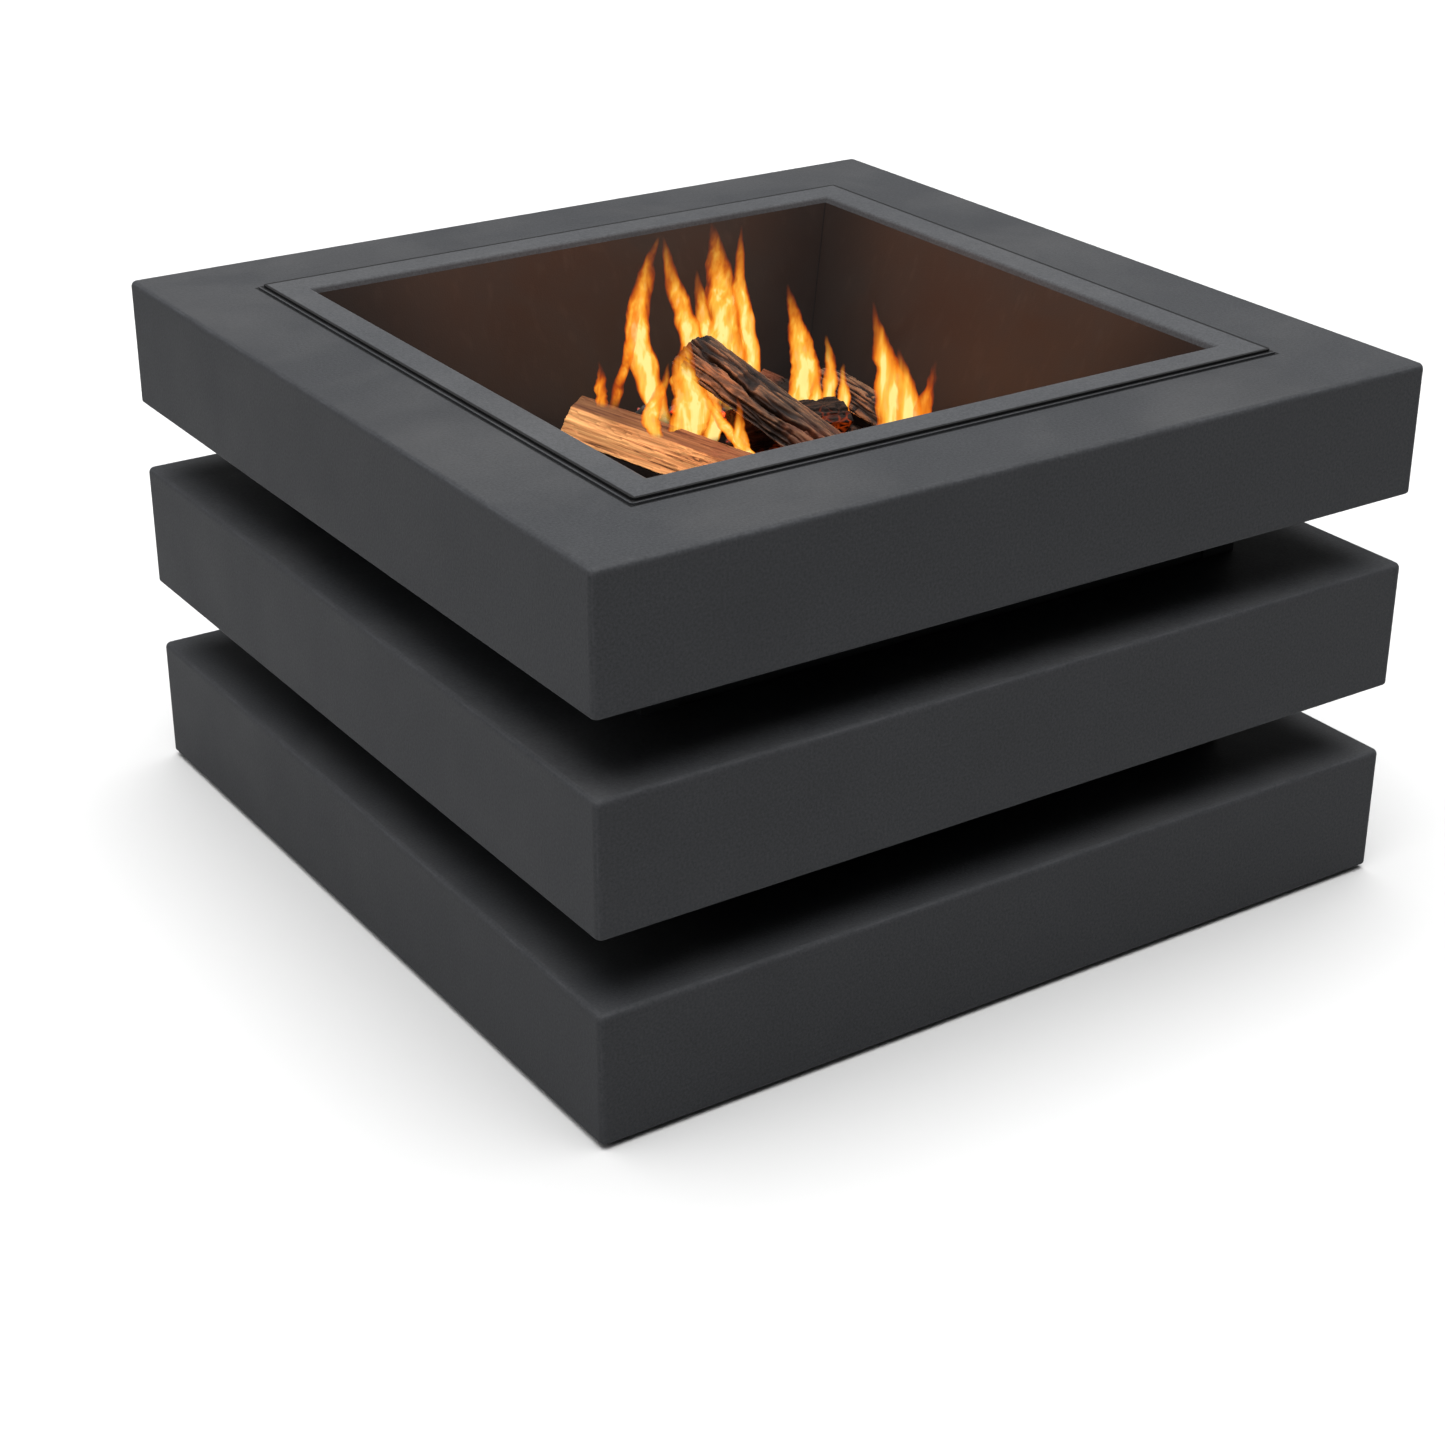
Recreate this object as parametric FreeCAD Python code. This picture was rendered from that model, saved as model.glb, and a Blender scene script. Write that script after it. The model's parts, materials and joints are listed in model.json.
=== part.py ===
"""Square tiered fire pit: three folded steel trays on four corner posts, a lift-out fire bowl,
a lift-out log grate and a small stack of split logs.

Millimetres. +Z is up, the floor is z = 0 and the origin is under the middle of the pit.
"""
import FreeCAD, Part
import math
import os

# ---------------------------------------------------------------- driving dimensions
side = 700.0                # the trays are square
half = side / 2
foot_reveal = 4.0           # floor to the underside of the bottom tray
tray_height = 100.0
tray_gap = 55.0
sheet = 1.5                 # folded tray sheet

edge_radius_upright = 5.0   # folds at the four uprights of a tray
edge_radius_top = 4.5
edge_radius_bottom = 2.5
lip_width = 20.0            # bottom edge of a skirt, turned in
closing_slack = 1.0         # closing frame to the skirt and to the posts

core_half = 262.0           # outside of the corner posts
post_leg = 30.0
post_sheet = 3.0
core_bore_reach = 12.0      # through-holes of the core, to each side of its outside
collar_depth = 25.0         # turned-down edge round the core in the two lower trays
infill_sheet = 1.2
infill_reach = 257.0
infill_low_gap = 3.0        # under the panels, over the heat shield's tabs
infill_top_gap = 0.5
shield_side_gap = 2.8

top_cutout_half = 250.0
seat_outer_half = 275.0
seat_sheet = 1.5
seat_leg_depth = 20.0
seat_corner_radius = 3.0

running_gap = 0.3           # between pieces that lift apart
bowl_sheet = 1.6
bowl_flange_half = 272.0
bowl_mouth_half = 245.0
bowl_depth = 185.0          # rim to the underside of the floor
bowl_taper = 0.45           # sideways per unit of depth
bowl_bend_radius = 4.0
drain_radius = 6.0
drain_place = 120.0

grate_top = 290.0
grate_half = 158.0
grate_bar = 8.0             # square frame bars, legs and round bars
grate_pitch = 30.0
grate_bar_count = 10
grate_corner_radius = 1.0

foot_radius = 17.0
foot_place = 300.0
foot_recess_depth = 3.0
foot_recess_radius = 5.5
foot_edge_radius = 1.5

# ---------------------------------------------------------------- heights that follow
bottom_tray_base = foot_reveal
middle_tray_base = bottom_tray_base + tray_height + tray_gap
top_tray_base = middle_tray_base + tray_height + tray_gap
tray_top = top_tray_base + tray_height
seat_top = tray_top + seat_sheet
rim_top = seat_top + running_gap + bowl_sheet
bowl_base = rim_top - bowl_depth

tab_sheet = 3.0
top_tab_inner = 225.0       # edges of a post's tab under the top tray
top_tab_outer = core_half + 23.0
low_tab_inner = 215.0
post_top = tray_top - sheet
post_base = 16.0
shield_base = post_base + tab_sheet

# ---------------------------------------------------------------- fasteners
screw_clearance = 0.25
top_screw = {"shank": 2.0, "head": 3.75, "drive_flats": 2.5, "drive_depth": 1.2,
             "nut_flats": 7.0, "nut_height": 3.2, "past_tab": 6.0}
tray_bolt = {"shank": 3.0, "head_flats": 10.0, "head_height": 4.0, "nut_height": 5.0, "past_nut": 2.0}
small_screw = {"shank": 2.5, "head": 4.6, "head_height": 2.4, "head_radius": 1.0, "drive_flats": 3.0,
               "drive_depth": 1.4, "nut_flats": 8.0, "nut_height": 4.0, "past_nut": 1.5}
rivet = {"shank": 2.0, "head": 3.8, "rise": 1.6, "tail": 3.0, "tail_height": 1.2}

top_screw_line = 267.0
top_screw_offset = 238.0
tray_bolt_offset = 245.0
tray_bolt_drop = 13.5       # below the top of its tray
rivet_offset = 238.0
rivet_heights = (40.0, 190.0, 360.0)
shield_screw_place = 228.0
closing_rivet_offset = 200.0

UP = FreeCAD.Vector(0, 0, 1)
QUARTERS = (0, 90, 180, 270)
CORNERS = ((-1, -1), (1, -1), (1, 1), (-1, 1))


# ---------------------------------------------------------------- plain shapes
# A shape that cuts runs 1 mm past the faces it cuts through.
def block(x0, y0, z0, x1, y1, z1):
    return Part.makeBox(x1 - x0, y1 - y0, z1 - z0, FreeCAD.Vector(x0, y0, z0))


def square(reach, z0, z1):
    return block(-reach, -reach, z0, reach, reach, z1)


def square_ring(outer, inner, z0, z1):
    return square(outer, z0, z1).cut(square(inner, z0 - 1, z1 + 1))


def rod(x, y, z0, z1, radius):
    return Part.makeCylinder(radius, z1 - z0, FreeCAD.Vector(x, y, z0), UP)


def hexagon(x, y, z0, z1, flats):
    radius = flats / math.sqrt(3)
    corners = []
    for step in range(7):
        turn = math.radians(60 * step)
        corners.append(FreeCAD.Vector(x + radius * math.cos(turn), y + radius * math.sin(turn), z0))
    return Part.Face(Part.makePolygon(corners)).extrude(FreeCAD.Vector(0, 0, z1 - z0))


def ring_nut(x, y, z0, z1, flats, bore):
    return hexagon(x, y, z0, z1, flats).cut(rod(x, y, z0 - 1, z1 + 1, bore))


def tapered_square(top_half, top_z, low_half, low_z):
    wires = []
    for reach, z in ((low_half, low_z), (top_half, top_z)):
        points = [FreeCAD.Vector(reach * sx, reach * sy, z) for sx, sy in CORNERS]
        wires.append(Part.makePolygon(points + points[:1]))
    return Part.makeLoft(wires, True, True)


def turned(shape, degrees):
    copy = shape.copy()
    copy.rotate(FreeCAD.Vector(0, 0, 0), UP, degrees)
    return copy


def four_turns(shape):
    return [turned(shape, degrees) for degrees in QUARTERS]


def cut_all(shape, tools):
    return shape.cut(Part.makeCompound(tools))


def lying_along_x(shape):
    """Tip an upright shape over so that its +Z points along +X."""
    copy = shape.copy()
    copy.rotate(FreeCAD.Vector(0, 0, 0), FreeCAD.Vector(0, 1, 0), 90)
    return copy


def save(name, solids):
    """Write one node from a solid or a list of separate solids."""
    shape = solids if isinstance(solids, Part.Shape) else Part.makeCompound(solids)
    shape.exportStep("parts/" + name + ".step")
    print(name, len(shape.Solids), "solid(s)", "valid" if shape.isValid() else "NOT VALID")


# ---------------------------------------------------------------- trays
def upright_edges(shape, reach):
    found = []
    for edge in shape.Edges:
        box = edge.BoundBox
        if box.ZLength > 1 and box.XLength < 0.01 and abs(abs(box.XMin) - reach) < 0.01:
            found.append(edge)
    return found


def edges_at_height(shape, z):
    return [e for e in shape.Edges if abs(e.BoundBox.ZMin - z) < 0.01 and abs(e.BoundBox.ZMax - z) < 0.01]


def soft_block(reach, z0, z1, upright_radius, top_radius, bottom_radius):
    body = square(reach, z0, z1)
    body = body.makeFillet(upright_radius, upright_edges(body, reach))
    body = body.makeFillet(top_radius, edges_at_height(body, z1))
    return body.makeFillet(bottom_radius, edges_at_height(body, z0))


def tray_shell(base, cutout):
    """Folded tray, open below inside its turned-in lip, with a square cut-out in its top."""
    top = base + tray_height
    outside = soft_block(half, base, top, edge_radius_upright, edge_radius_top, edge_radius_bottom)
    inside = soft_block(half - sheet, base + sheet, top - sheet, edge_radius_upright - sheet,
                        edge_radius_top - sheet, edge_radius_bottom - sheet)
    shell = outside.cut(inside)
    shell = shell.cut(square(half - sheet - lip_width, base - 1, base + sheet + 1))
    return shell.cut(square(cutout, top - sheet - 1, top + 1))


def top_screw_places():
    places = []
    for sx, sy in CORNERS:
        places.append((sx * top_screw_line, sy * top_screw_offset))
        places.append((sx * top_screw_offset, sy * top_screw_line))
    return places


def make_top_tray():
    tray = tray_shell(top_tray_base, top_cutout_half)
    bore = top_screw["shank"] + screw_clearance
    holes = [rod(x, y, tray_top - sheet - 1, tray_top + 1, bore) for x, y in top_screw_places()]
    sinks = [screw_sink(x, y) for x, y in top_screw_places()]
    return cut_all(tray, holes + sinks)


def bolt_height(base):
    return base + tray_height - tray_bolt_drop


def bolt_holes(base):
    """Through-holes of one tray's bolts, all round the core."""
    bore = tray_bolt["shank"] + screw_clearance
    hole = lying_along_x(rod(0, 0, core_half - core_bore_reach, core_half + core_bore_reach, bore))
    holes = []
    for offset in (-tray_bolt_offset, tray_bolt_offset):
        placed = hole.copy()
        placed.translate(FreeCAD.Vector(0, offset, bolt_height(base)))
        holes += four_turns(placed)
    return holes


def make_collared_tray(base):
    """A lower tray: the edge of its cut-out is turned down as a collar round the posts."""
    top = base + tray_height
    tray = tray_shell(base, core_half)
    collar = square_ring(core_half + sheet, core_half, top - collar_depth, top - sheet)
    return cut_all(tray.fuse(collar).removeSplitter(), bolt_holes(base))


def closing_rivet_places():
    line = half - sheet - lip_width / 2
    return [(line, closing_rivet_offset), (line, -closing_rivet_offset)]


def make_closing_frame(base, with_feet):
    """Flat frame that lies on the turned-in lips and closes a tray from below."""
    z0 = base + sheet
    reach = half - sheet - closing_slack
    frame = square(reach, z0, z0 + sheet)
    frame = frame.makeFillet(edge_radius_upright, upright_edges(frame, reach))
    frame = frame.cut(square(core_half + closing_slack, z0 - 1, z0 + sheet + 1))
    bore = rivet["shank"] + screw_clearance
    tools = []
    for x, y in closing_rivet_places():
        tools += four_turns(rod(x, y, z0 - 1, z0 + sheet + 1, bore))
    if with_feet:
        bore = small_screw["shank"] + screw_clearance
        tools += four_turns(rod(foot_place, foot_place, z0 - 1, z0 + sheet + 1, bore))
    return cut_all(frame, tools)


def lip_holes(base):
    bore = rivet["shank"] + screw_clearance
    holes = []
    for x, y in closing_rivet_places():
        holes += four_turns(rod(x, y, base - 1, base + sheet + 1, bore))
    return holes


def make_closing_rivets():
    rivets = []
    for base in (bottom_tray_base, middle_tray_base, top_tray_base):
        for x, y in closing_rivet_places():
            rivets += four_turns(upright_rivet(x, y, base, base + 2 * sheet))
    return rivets


# ---------------------------------------------------------------- core: posts, infill, shield
def make_post():
    """Corner post at +X +Y: an angle with a tab under the top tray and a tab at its foot."""
    inner = core_half - post_leg
    angle = block(inner, inner, post_base, core_half, core_half, post_top - tab_sheet)
    angle = angle.cut(block(inner - 1, inner - 1, post_base - 1, core_half - post_sheet,
                            core_half - post_sheet, post_top))
    top_tab = block(top_tab_inner, top_tab_inner, post_top - tab_sheet, top_tab_outer, top_tab_outer,
                    post_top)
    notch = top_cutout_half + 1
    top_tab = top_tab.cut(block(top_tab_inner - 1, top_tab_inner - 1, post_top - tab_sheet - 1,
                                notch, notch, post_top + 1))
    low_tab = block(low_tab_inner, low_tab_inner, post_base, core_half - post_sheet,
                    core_half - post_sheet, shield_base)
    post = angle.fuse([top_tab, low_tab]).removeSplitter()

    bore = top_screw["shank"] + screw_clearance
    tools = [rod(x, y, post_top - tab_sheet - 1, post_top + 1, bore) for x, y in top_screw_places()]
    bore = small_screw["shank"] + screw_clearance
    tools.append(rod(shield_screw_place, shield_screw_place, post_base - 1, shield_base + 1, bore))
    for base in (bottom_tray_base, middle_tray_base):
        tools += bolt_holes(base)
    return cut_all(post, tools + rivet_holes())


def rivet_holes():
    bore = rivet["shank"] + screw_clearance
    hole = lying_along_x(rod(0, 0, core_half - core_bore_reach, core_half + core_bore_reach, bore))
    holes = []
    for z in rivet_heights:
        for offset in (-rivet_offset, rivet_offset):
            placed = hole.copy()
            placed.translate(FreeCAD.Vector(0, offset, z))
            holes += four_turns(placed)
    return holes


def make_infill():
    """Black panel on the +X side, clamped to the inside of two posts."""
    outer = core_half - post_sheet
    panel = block(outer - infill_sheet, -infill_reach, shield_base + infill_low_gap,
                  outer, infill_reach, post_top - tab_sheet - infill_top_gap)
    tools = rivet_holes()
    for base in (bottom_tray_base, middle_tray_base):
        tools += bolt_holes(base)
    return cut_all(panel, tools)


def make_heat_shield():
    """Flat plate on the low tabs of the posts."""
    reach = core_half - post_sheet - infill_sheet - shield_side_gap
    plate = square(reach, shield_base, shield_base + sheet)
    bore = small_screw["shank"] + screw_clearance
    place = shield_screw_place
    return cut_all(plate, four_turns(rod(place, place, shield_base - 1, shield_base + sheet + 1, bore)))


# ---------------------------------------------------------------- fasteners
def screw_sink(x, y):
    """Countersink that takes a flush screw head, from the seat frame's top face down."""
    depth = top_screw["head"] - top_screw["shank"]
    return Part.makeCone(top_screw["shank"] + screw_clearance, top_screw["head"] + screw_clearance,
                         depth, FreeCAD.Vector(x, y, seat_top - depth), UP)


def make_top_screws():
    screws = []
    depth = top_screw["head"] - top_screw["shank"]
    for x, y in top_screw_places():
        head = Part.makeCone(top_screw["shank"], top_screw["head"], depth,
                             FreeCAD.Vector(x, y, seat_top - depth), UP)
        shank = rod(x, y, post_top - tab_sheet - top_screw["past_tab"], seat_top - depth, top_screw["shank"])
        drive = hexagon(x, y, seat_top - top_screw["drive_depth"], seat_top + 1, top_screw["drive_flats"])
        screws.append(head.fuse(shank).cut(drive).removeSplitter())
    return screws


def make_top_nuts():
    z1 = post_top - tab_sheet
    z0 = z1 - top_screw["nut_height"]
    return [ring_nut(x, y, z0, z1, top_screw["nut_flats"], top_screw["shank"])
            for x, y in top_screw_places()]


def tray_bolt_and_nut():
    """One bolt and nut through a +X collar, its post leg and the infill, at y = z = 0."""
    outer = core_half + sheet
    inner = core_half - post_sheet - infill_sheet
    tip = inner - tray_bolt["nut_height"] - tray_bolt["past_nut"]
    head = hexagon(0, 0, outer, outer + tray_bolt["head_height"], tray_bolt["head_flats"])
    shank = rod(0, 0, tip, outer, tray_bolt["shank"])
    nut = ring_nut(0, 0, inner - tray_bolt["nut_height"], inner, tray_bolt["head_flats"],
                   tray_bolt["shank"])
    return lying_along_x(head.fuse(shank).removeSplitter()), lying_along_x(nut)


def placed_round_core(shape, offset, heights):
    placed = []
    for z in heights:
        for side_offset in (-offset, offset):
            copy = shape.copy()
            copy.translate(FreeCAD.Vector(0, side_offset, z))
            placed += four_turns(copy)
    return placed


def upright_rivet(x, y, z0, z1):
    """Rivet with a low domed head below z0 and a flat tail above z1."""
    dome_radius = (rivet["head"] ** 2 + rivet["rise"] ** 2) / (2 * rivet["rise"])
    ball = Part.makeSphere(dome_radius, FreeCAD.Vector(x, y, z0 - rivet["rise"] + dome_radius))
    dome = ball.common(rod(x, y, z0 - rivet["rise"] - 1, z0, rivet["head"] + 1))
    shank = rod(x, y, z0, z1, rivet["shank"])
    tail = rod(x, y, z1, z1 + rivet["tail_height"], rivet["tail"])
    return dome.fuse([shank, tail]).removeSplitter()


def make_infill_rivets():
    inner = core_half - post_sheet - infill_sheet
    pin = upright_rivet(0, 0, -core_half, -inner)
    pin.rotate(FreeCAD.Vector(0, 0, 0), FreeCAD.Vector(0, 1, 0), -90)
    return placed_round_core(pin, rivet_offset, rivet_heights)


def pan_screw(x, y, seat_z, head_direction, tip_z):
    """Pan-head screw; the head stands on seat_z, above it (+1) or below it (-1)."""
    edge_z = seat_z + head_direction * small_screw["head_height"]
    head = rod(x, y, min(seat_z, edge_z), max(seat_z, edge_z), small_screw["head"])
    head = head.makeFillet(small_screw["head_radius"], edges_at_height(head, edge_z))
    shank = rod(x, y, min(seat_z, tip_z), max(seat_z, tip_z), small_screw["shank"])
    drive_z = edge_z - head_direction * small_screw["drive_depth"]
    drive = hexagon(x, y, min(edge_z, drive_z), max(edge_z, drive_z), small_screw["drive_flats"])
    return head.fuse(shank).cut(drive).removeSplitter()


def make_shield_fasteners():
    place = shield_screw_place
    nut_z = post_base - small_screw["nut_height"]
    screw = pan_screw(place, place, shield_base + sheet, 1, nut_z - small_screw["past_nut"])
    nut = ring_nut(place, place, nut_z, post_base, small_screw["nut_flats"], small_screw["shank"])
    return four_turns(screw), four_turns(nut)


# ---------------------------------------------------------------- feet
def foot_top():
    return bottom_tray_base + sheet


def make_foot():
    """Rubber foot at +X +Y: a low puck with a rounded foot edge and a recess for its screw."""
    x = y = foot_place
    foot = rod(x, y, 0, foot_top(), foot_radius)
    foot = foot.makeFillet(foot_edge_radius, edges_at_height(foot, 0))
    foot = foot.cut(rod(x, y, -1, foot_recess_depth, foot_recess_radius))
    return foot.cut(rod(x, y, -1, foot_top() + 1, small_screw["shank"] + screw_clearance))


def make_foot_fasteners():
    place = foot_place
    nut_z = foot_top() + sheet
    nut_top = nut_z + small_screw["nut_height"]
    screw = pan_screw(place, place, foot_recess_depth, -1, nut_top + small_screw["past_nut"])
    nut = ring_nut(place, place, nut_z, nut_top, small_screw["nut_flats"], small_screw["shank"])
    return four_turns(screw), four_turns(nut)


# ---------------------------------------------------------------- seat frame and bowl
def make_seat_frame():
    """Flat square collar on the top tray, with a leg down inside its cut-out."""
    inner = top_cutout_half - seat_sheet
    plate = square(seat_outer_half, tray_top, seat_top)
    plate = plate.makeFillet(seat_corner_radius, upright_edges(plate, seat_outer_half))
    plate = plate.cut(square(inner, tray_top - 1, seat_top + 1))
    leg = square_ring(top_cutout_half, inner, tray_top - seat_leg_depth, tray_top)
    frame = plate.fuse(leg).removeSplitter()
    bore = top_screw["shank"] + screw_clearance
    tools = [rod(x, y, tray_top - 1, seat_top + 1, bore) for x, y in top_screw_places()]
    tools += [screw_sink(x, y) for x, y in top_screw_places()]
    return cut_all(frame, tools)


def bowl_half_at(z):
    """Half width inside the bowl at height z."""
    return bowl_mouth_half - bowl_taper * (rim_top - z)


def bowl_shell():
    """The whole bowl in one: flange, rounded bend, four tapered walls and floor."""
    wall = bowl_sheet * math.sqrt(1 + bowl_taper ** 2)
    flange = square(bowl_flange_half, rim_top - bowl_sheet, rim_top)
    flange = flange.makeFillet(seat_corner_radius, upright_edges(flange, bowl_flange_half))
    outside = tapered_square(bowl_mouth_half + wall, rim_top, bowl_half_at(bowl_base) + wall, bowl_base)
    inside = tapered_square(bowl_half_at(rim_top + 1), rim_top + 1,
                            bowl_half_at(bowl_base + bowl_sheet), bowl_base + bowl_sheet)
    bowl = flange.fuse(outside).cut(inside).removeSplitter()
    mouth_edges = [e for e in edges_at_height(bowl, rim_top) if abs(e.Length - 2 * bowl_mouth_half) < 1]
    return bowl.makeFillet(bowl_bend_radius, mouth_edges)


def side_wedge(z0, z1):
    """Everything nearer to the +X side than to the others, between two heights."""
    reach = bowl_flange_half + 1
    points = [FreeCAD.Vector(0, 0, z0), FreeCAD.Vector(reach, -reach, z0), FreeCAD.Vector(reach, reach, z0)]
    return Part.Face(Part.makePolygon(points + points[:1])).extrude(FreeCAD.Vector(0, 0, z1 - z0))


def make_bowl_sheets():
    """The sheets that the bowl is welded from: flange, four mitred walls and floor."""
    bowl = bowl_shell()
    reach = bowl_flange_half + 1
    flange_low = rim_top - bowl_bend_radius - 1
    floor_top = bowl_base + bowl_sheet
    flange = bowl.common(square(reach, flange_low, rim_top + 1))
    wall = bowl.common(side_wedge(floor_top, flange_low))
    floor = bowl.common(square(reach, bowl_base - 1, floor_top))
    drains = four_turns(rod(drain_place, drain_place, bowl_base - 1, floor_top + 1, drain_radius))
    return flange, four_turns(wall), cut_all(floor, drains)


# ---------------------------------------------------------------- grate
def make_grate_frame():
    ring = square_ring(grate_half, grate_half - grate_bar, grate_top - grate_bar, grate_top)
    return ring.makeFillet(grate_corner_radius, upright_edges(ring, grate_half))


def make_grate_bars():
    reach = grate_half - grate_bar
    bars = []
    for number in range(grate_bar_count):
        x = (number - (grate_bar_count - 1) / 2) * grate_pitch
        bars.append(Part.makeCylinder(grate_bar / 2, 2 * reach,
                                      FreeCAD.Vector(x, -reach, grate_top - grate_bar / 2),
                                      FreeCAD.Vector(0, 1, 0)))
    return bars


def make_grate_legs():
    inner = grate_half - grate_bar
    floor = bowl_base + bowl_sheet + running_gap
    leg = block(inner, inner, floor, grate_half, grate_half, grate_top - grate_bar)
    return four_turns(leg)


# ---------------------------------------------------------------- logs
def split_section(radius, heart_angle):
    """Section of a split log, apex up at the origin: two flat split faces and a bark arc below.

    heart_angle is the angle between the split faces, in degrees."""
    sweep = math.radians(heart_angle / 2)
    left = FreeCAD.Vector(0, -radius * math.sin(sweep), -radius * math.cos(sweep))
    right = FreeCAD.Vector(0, radius * math.sin(sweep), -radius * math.cos(sweep))
    apex = FreeCAD.Vector(0, 0, 0)
    low = FreeCAD.Vector(0, 0, -radius)
    bark = Part.Arc(left, low, right).toShape()
    return Part.Face(Part.Wire([Part.makeLine(apex, left), bark, Part.makeLine(right, apex)]))


def make_log(start, end, radius, heart_angle, roll, rest_z, tilt=0.0):
    """Split log between two plan points, lying on rest_z.

    roll turns it about its own length and tilt lifts its start, both in degrees."""
    run_x = end[0] - start[0]
    run_y = end[1] - start[1]
    length = math.hypot(run_x, run_y)
    log = split_section(radius, heart_angle).extrude(FreeCAD.Vector(length, 0, 0))
    centre = FreeCAD.Vector(length / 2, 0, -radius / 2)
    log.translate(centre.negative())
    origin = FreeCAD.Vector(0, 0, 0)
    log.rotate(origin, FreeCAD.Vector(1, 0, 0), roll)
    log.rotate(origin, FreeCAD.Vector(0, 1, 0), tilt)
    log.rotate(origin, UP, math.degrees(math.atan2(run_y, run_x)))
    middle_x = (start[0] + end[0]) / 2
    middle_y = (start[1] + end[1]) / 2
    lowest = log.optimalBoundingBox(False).ZMin
    log.translate(FreeCAD.Vector(middle_x, middle_y, rest_z - lowest))
    return log


log_base = grate_top + running_gap
log_sizes = {
    "log_left": dict(start=(-66, 142), end=(-17, -92), radius=40, heart_angle=96, roll=12),
    "log_back": dict(start=(4, 26), end=(92, 6), radius=42.5, heart_angle=72, roll=184),
    "log_right": dict(start=(160, 122), end=(136, -74), radius=24, heart_angle=130, roll=176),
    "log_small": dict(start=(117, 44), end=(113, 150), radius=24, heart_angle=80, roll=14),
}
leaning_log = dict(start=(-12, 74), end=(49, -94), radius=29, heart_angle=120, roll=192, tilt=23)


# ---------------------------------------------------------------- nodes
def main():
    os.makedirs("parts", exist_ok=True)

    save("top_tray", cut_all(make_top_tray(), lip_holes(top_tray_base)))
    save("middle_tray", cut_all(make_collared_tray(middle_tray_base), lip_holes(middle_tray_base)))
    save("bottom_tray", cut_all(make_collared_tray(bottom_tray_base), lip_holes(bottom_tray_base)))
    save("top_closing_frame", make_closing_frame(top_tray_base, False))
    save("middle_closing_frame", make_closing_frame(middle_tray_base, False))
    save("bottom_closing_frame", make_closing_frame(bottom_tray_base, True))
    save("closing_rivets", make_closing_rivets())

    post_names = ("post_back_right", "post_back_left", "post_front_left", "post_front_right")
    for name, post in zip(post_names, four_turns(make_post())):
        save(name, post)
    panel_names = ("infill_right", "infill_back", "infill_left", "infill_front")
    for name, panel in zip(panel_names, four_turns(make_infill())):
        save(name, panel)
    save("infill_rivets", make_infill_rivets())

    save("heat_shield", make_heat_shield())
    shield_screws, shield_nuts = make_shield_fasteners()
    save("shield_screws", shield_screws)
    save("shield_nuts", shield_nuts)

    bolt, nut = tray_bolt_and_nut()
    for tray, base in (("middle", middle_tray_base), ("bottom", bottom_tray_base)):
        save(tray + "_tray_bolts", placed_round_core(bolt, tray_bolt_offset, (bolt_height(base),)))
        save(tray + "_tray_nuts", placed_round_core(nut, tray_bolt_offset, (bolt_height(base),)))

    save("seat_frame", make_seat_frame())
    save("top_screws", make_top_screws())
    save("top_nuts", make_top_nuts())

    foot_names = ("foot_back_right", "foot_back_left", "foot_front_left", "foot_front_right")
    for name, foot in zip(foot_names, four_turns(make_foot())):
        save(name, foot)
    foot_screws, foot_nuts = make_foot_fasteners()
    save("foot_screws", foot_screws)
    save("foot_nuts", foot_nuts)

    bowl_flange, bowl_walls, bowl_floor = make_bowl_sheets()
    save("bowl_flange", bowl_flange)
    wall_names = ("bowl_wall_right", "bowl_wall_back", "bowl_wall_left", "bowl_wall_front")
    for name, wall in zip(wall_names, bowl_walls):
        save(name, wall)
    save("bowl_floor", bowl_floor)
    save("grate_frame", make_grate_frame())
    save("grate_bars", make_grate_bars())
    save("grate_legs", make_grate_legs())
    for name, sizes in log_sizes.items():
        save(name, make_log(rest_z=log_base, **sizes))
    save("log_leaning", make_log(rest_z=log_base, **leaning_log))


main()
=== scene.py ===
"""Looks of a square tiered fire pit with grate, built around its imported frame.

Powder-coated trays, a heat-browned bowl, a scaled steel grate, split logs, embers, ash and low flames.
All lengths are metres unless a name ends in _mm.
"""
from __future__ import annotations

import json
import logging
import math
from dataclasses import dataclass, field
from enum import Enum
from typing import Any, Iterable, Sequence

import bmesh
import bpy
import numpy as np
from mathutils import Matrix, Vector, noise
from mathutils.bvhtree import BVHTree


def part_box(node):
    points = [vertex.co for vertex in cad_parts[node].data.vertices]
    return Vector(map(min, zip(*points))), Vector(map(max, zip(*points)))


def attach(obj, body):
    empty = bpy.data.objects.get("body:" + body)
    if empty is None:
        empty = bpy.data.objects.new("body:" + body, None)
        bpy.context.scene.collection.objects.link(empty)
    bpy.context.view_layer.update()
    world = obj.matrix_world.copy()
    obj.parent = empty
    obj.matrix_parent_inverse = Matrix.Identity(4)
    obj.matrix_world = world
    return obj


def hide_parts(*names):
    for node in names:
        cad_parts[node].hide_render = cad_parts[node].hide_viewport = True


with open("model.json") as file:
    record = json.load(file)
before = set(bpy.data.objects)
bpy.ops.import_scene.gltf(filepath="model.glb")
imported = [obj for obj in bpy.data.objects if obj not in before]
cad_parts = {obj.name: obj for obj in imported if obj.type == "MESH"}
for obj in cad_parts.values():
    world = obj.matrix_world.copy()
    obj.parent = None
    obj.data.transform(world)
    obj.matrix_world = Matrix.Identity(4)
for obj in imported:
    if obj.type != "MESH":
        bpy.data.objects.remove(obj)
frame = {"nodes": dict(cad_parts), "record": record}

logging.basicConfig(level=logging.INFO, format="%(levelname)s %(message)s")
LOG = logging.getLogger("fire_pit")
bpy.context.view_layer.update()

MM = 0.001
Socket = bpy.types.NodeSocket
Tree = bpy.types.NodeTree


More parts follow.
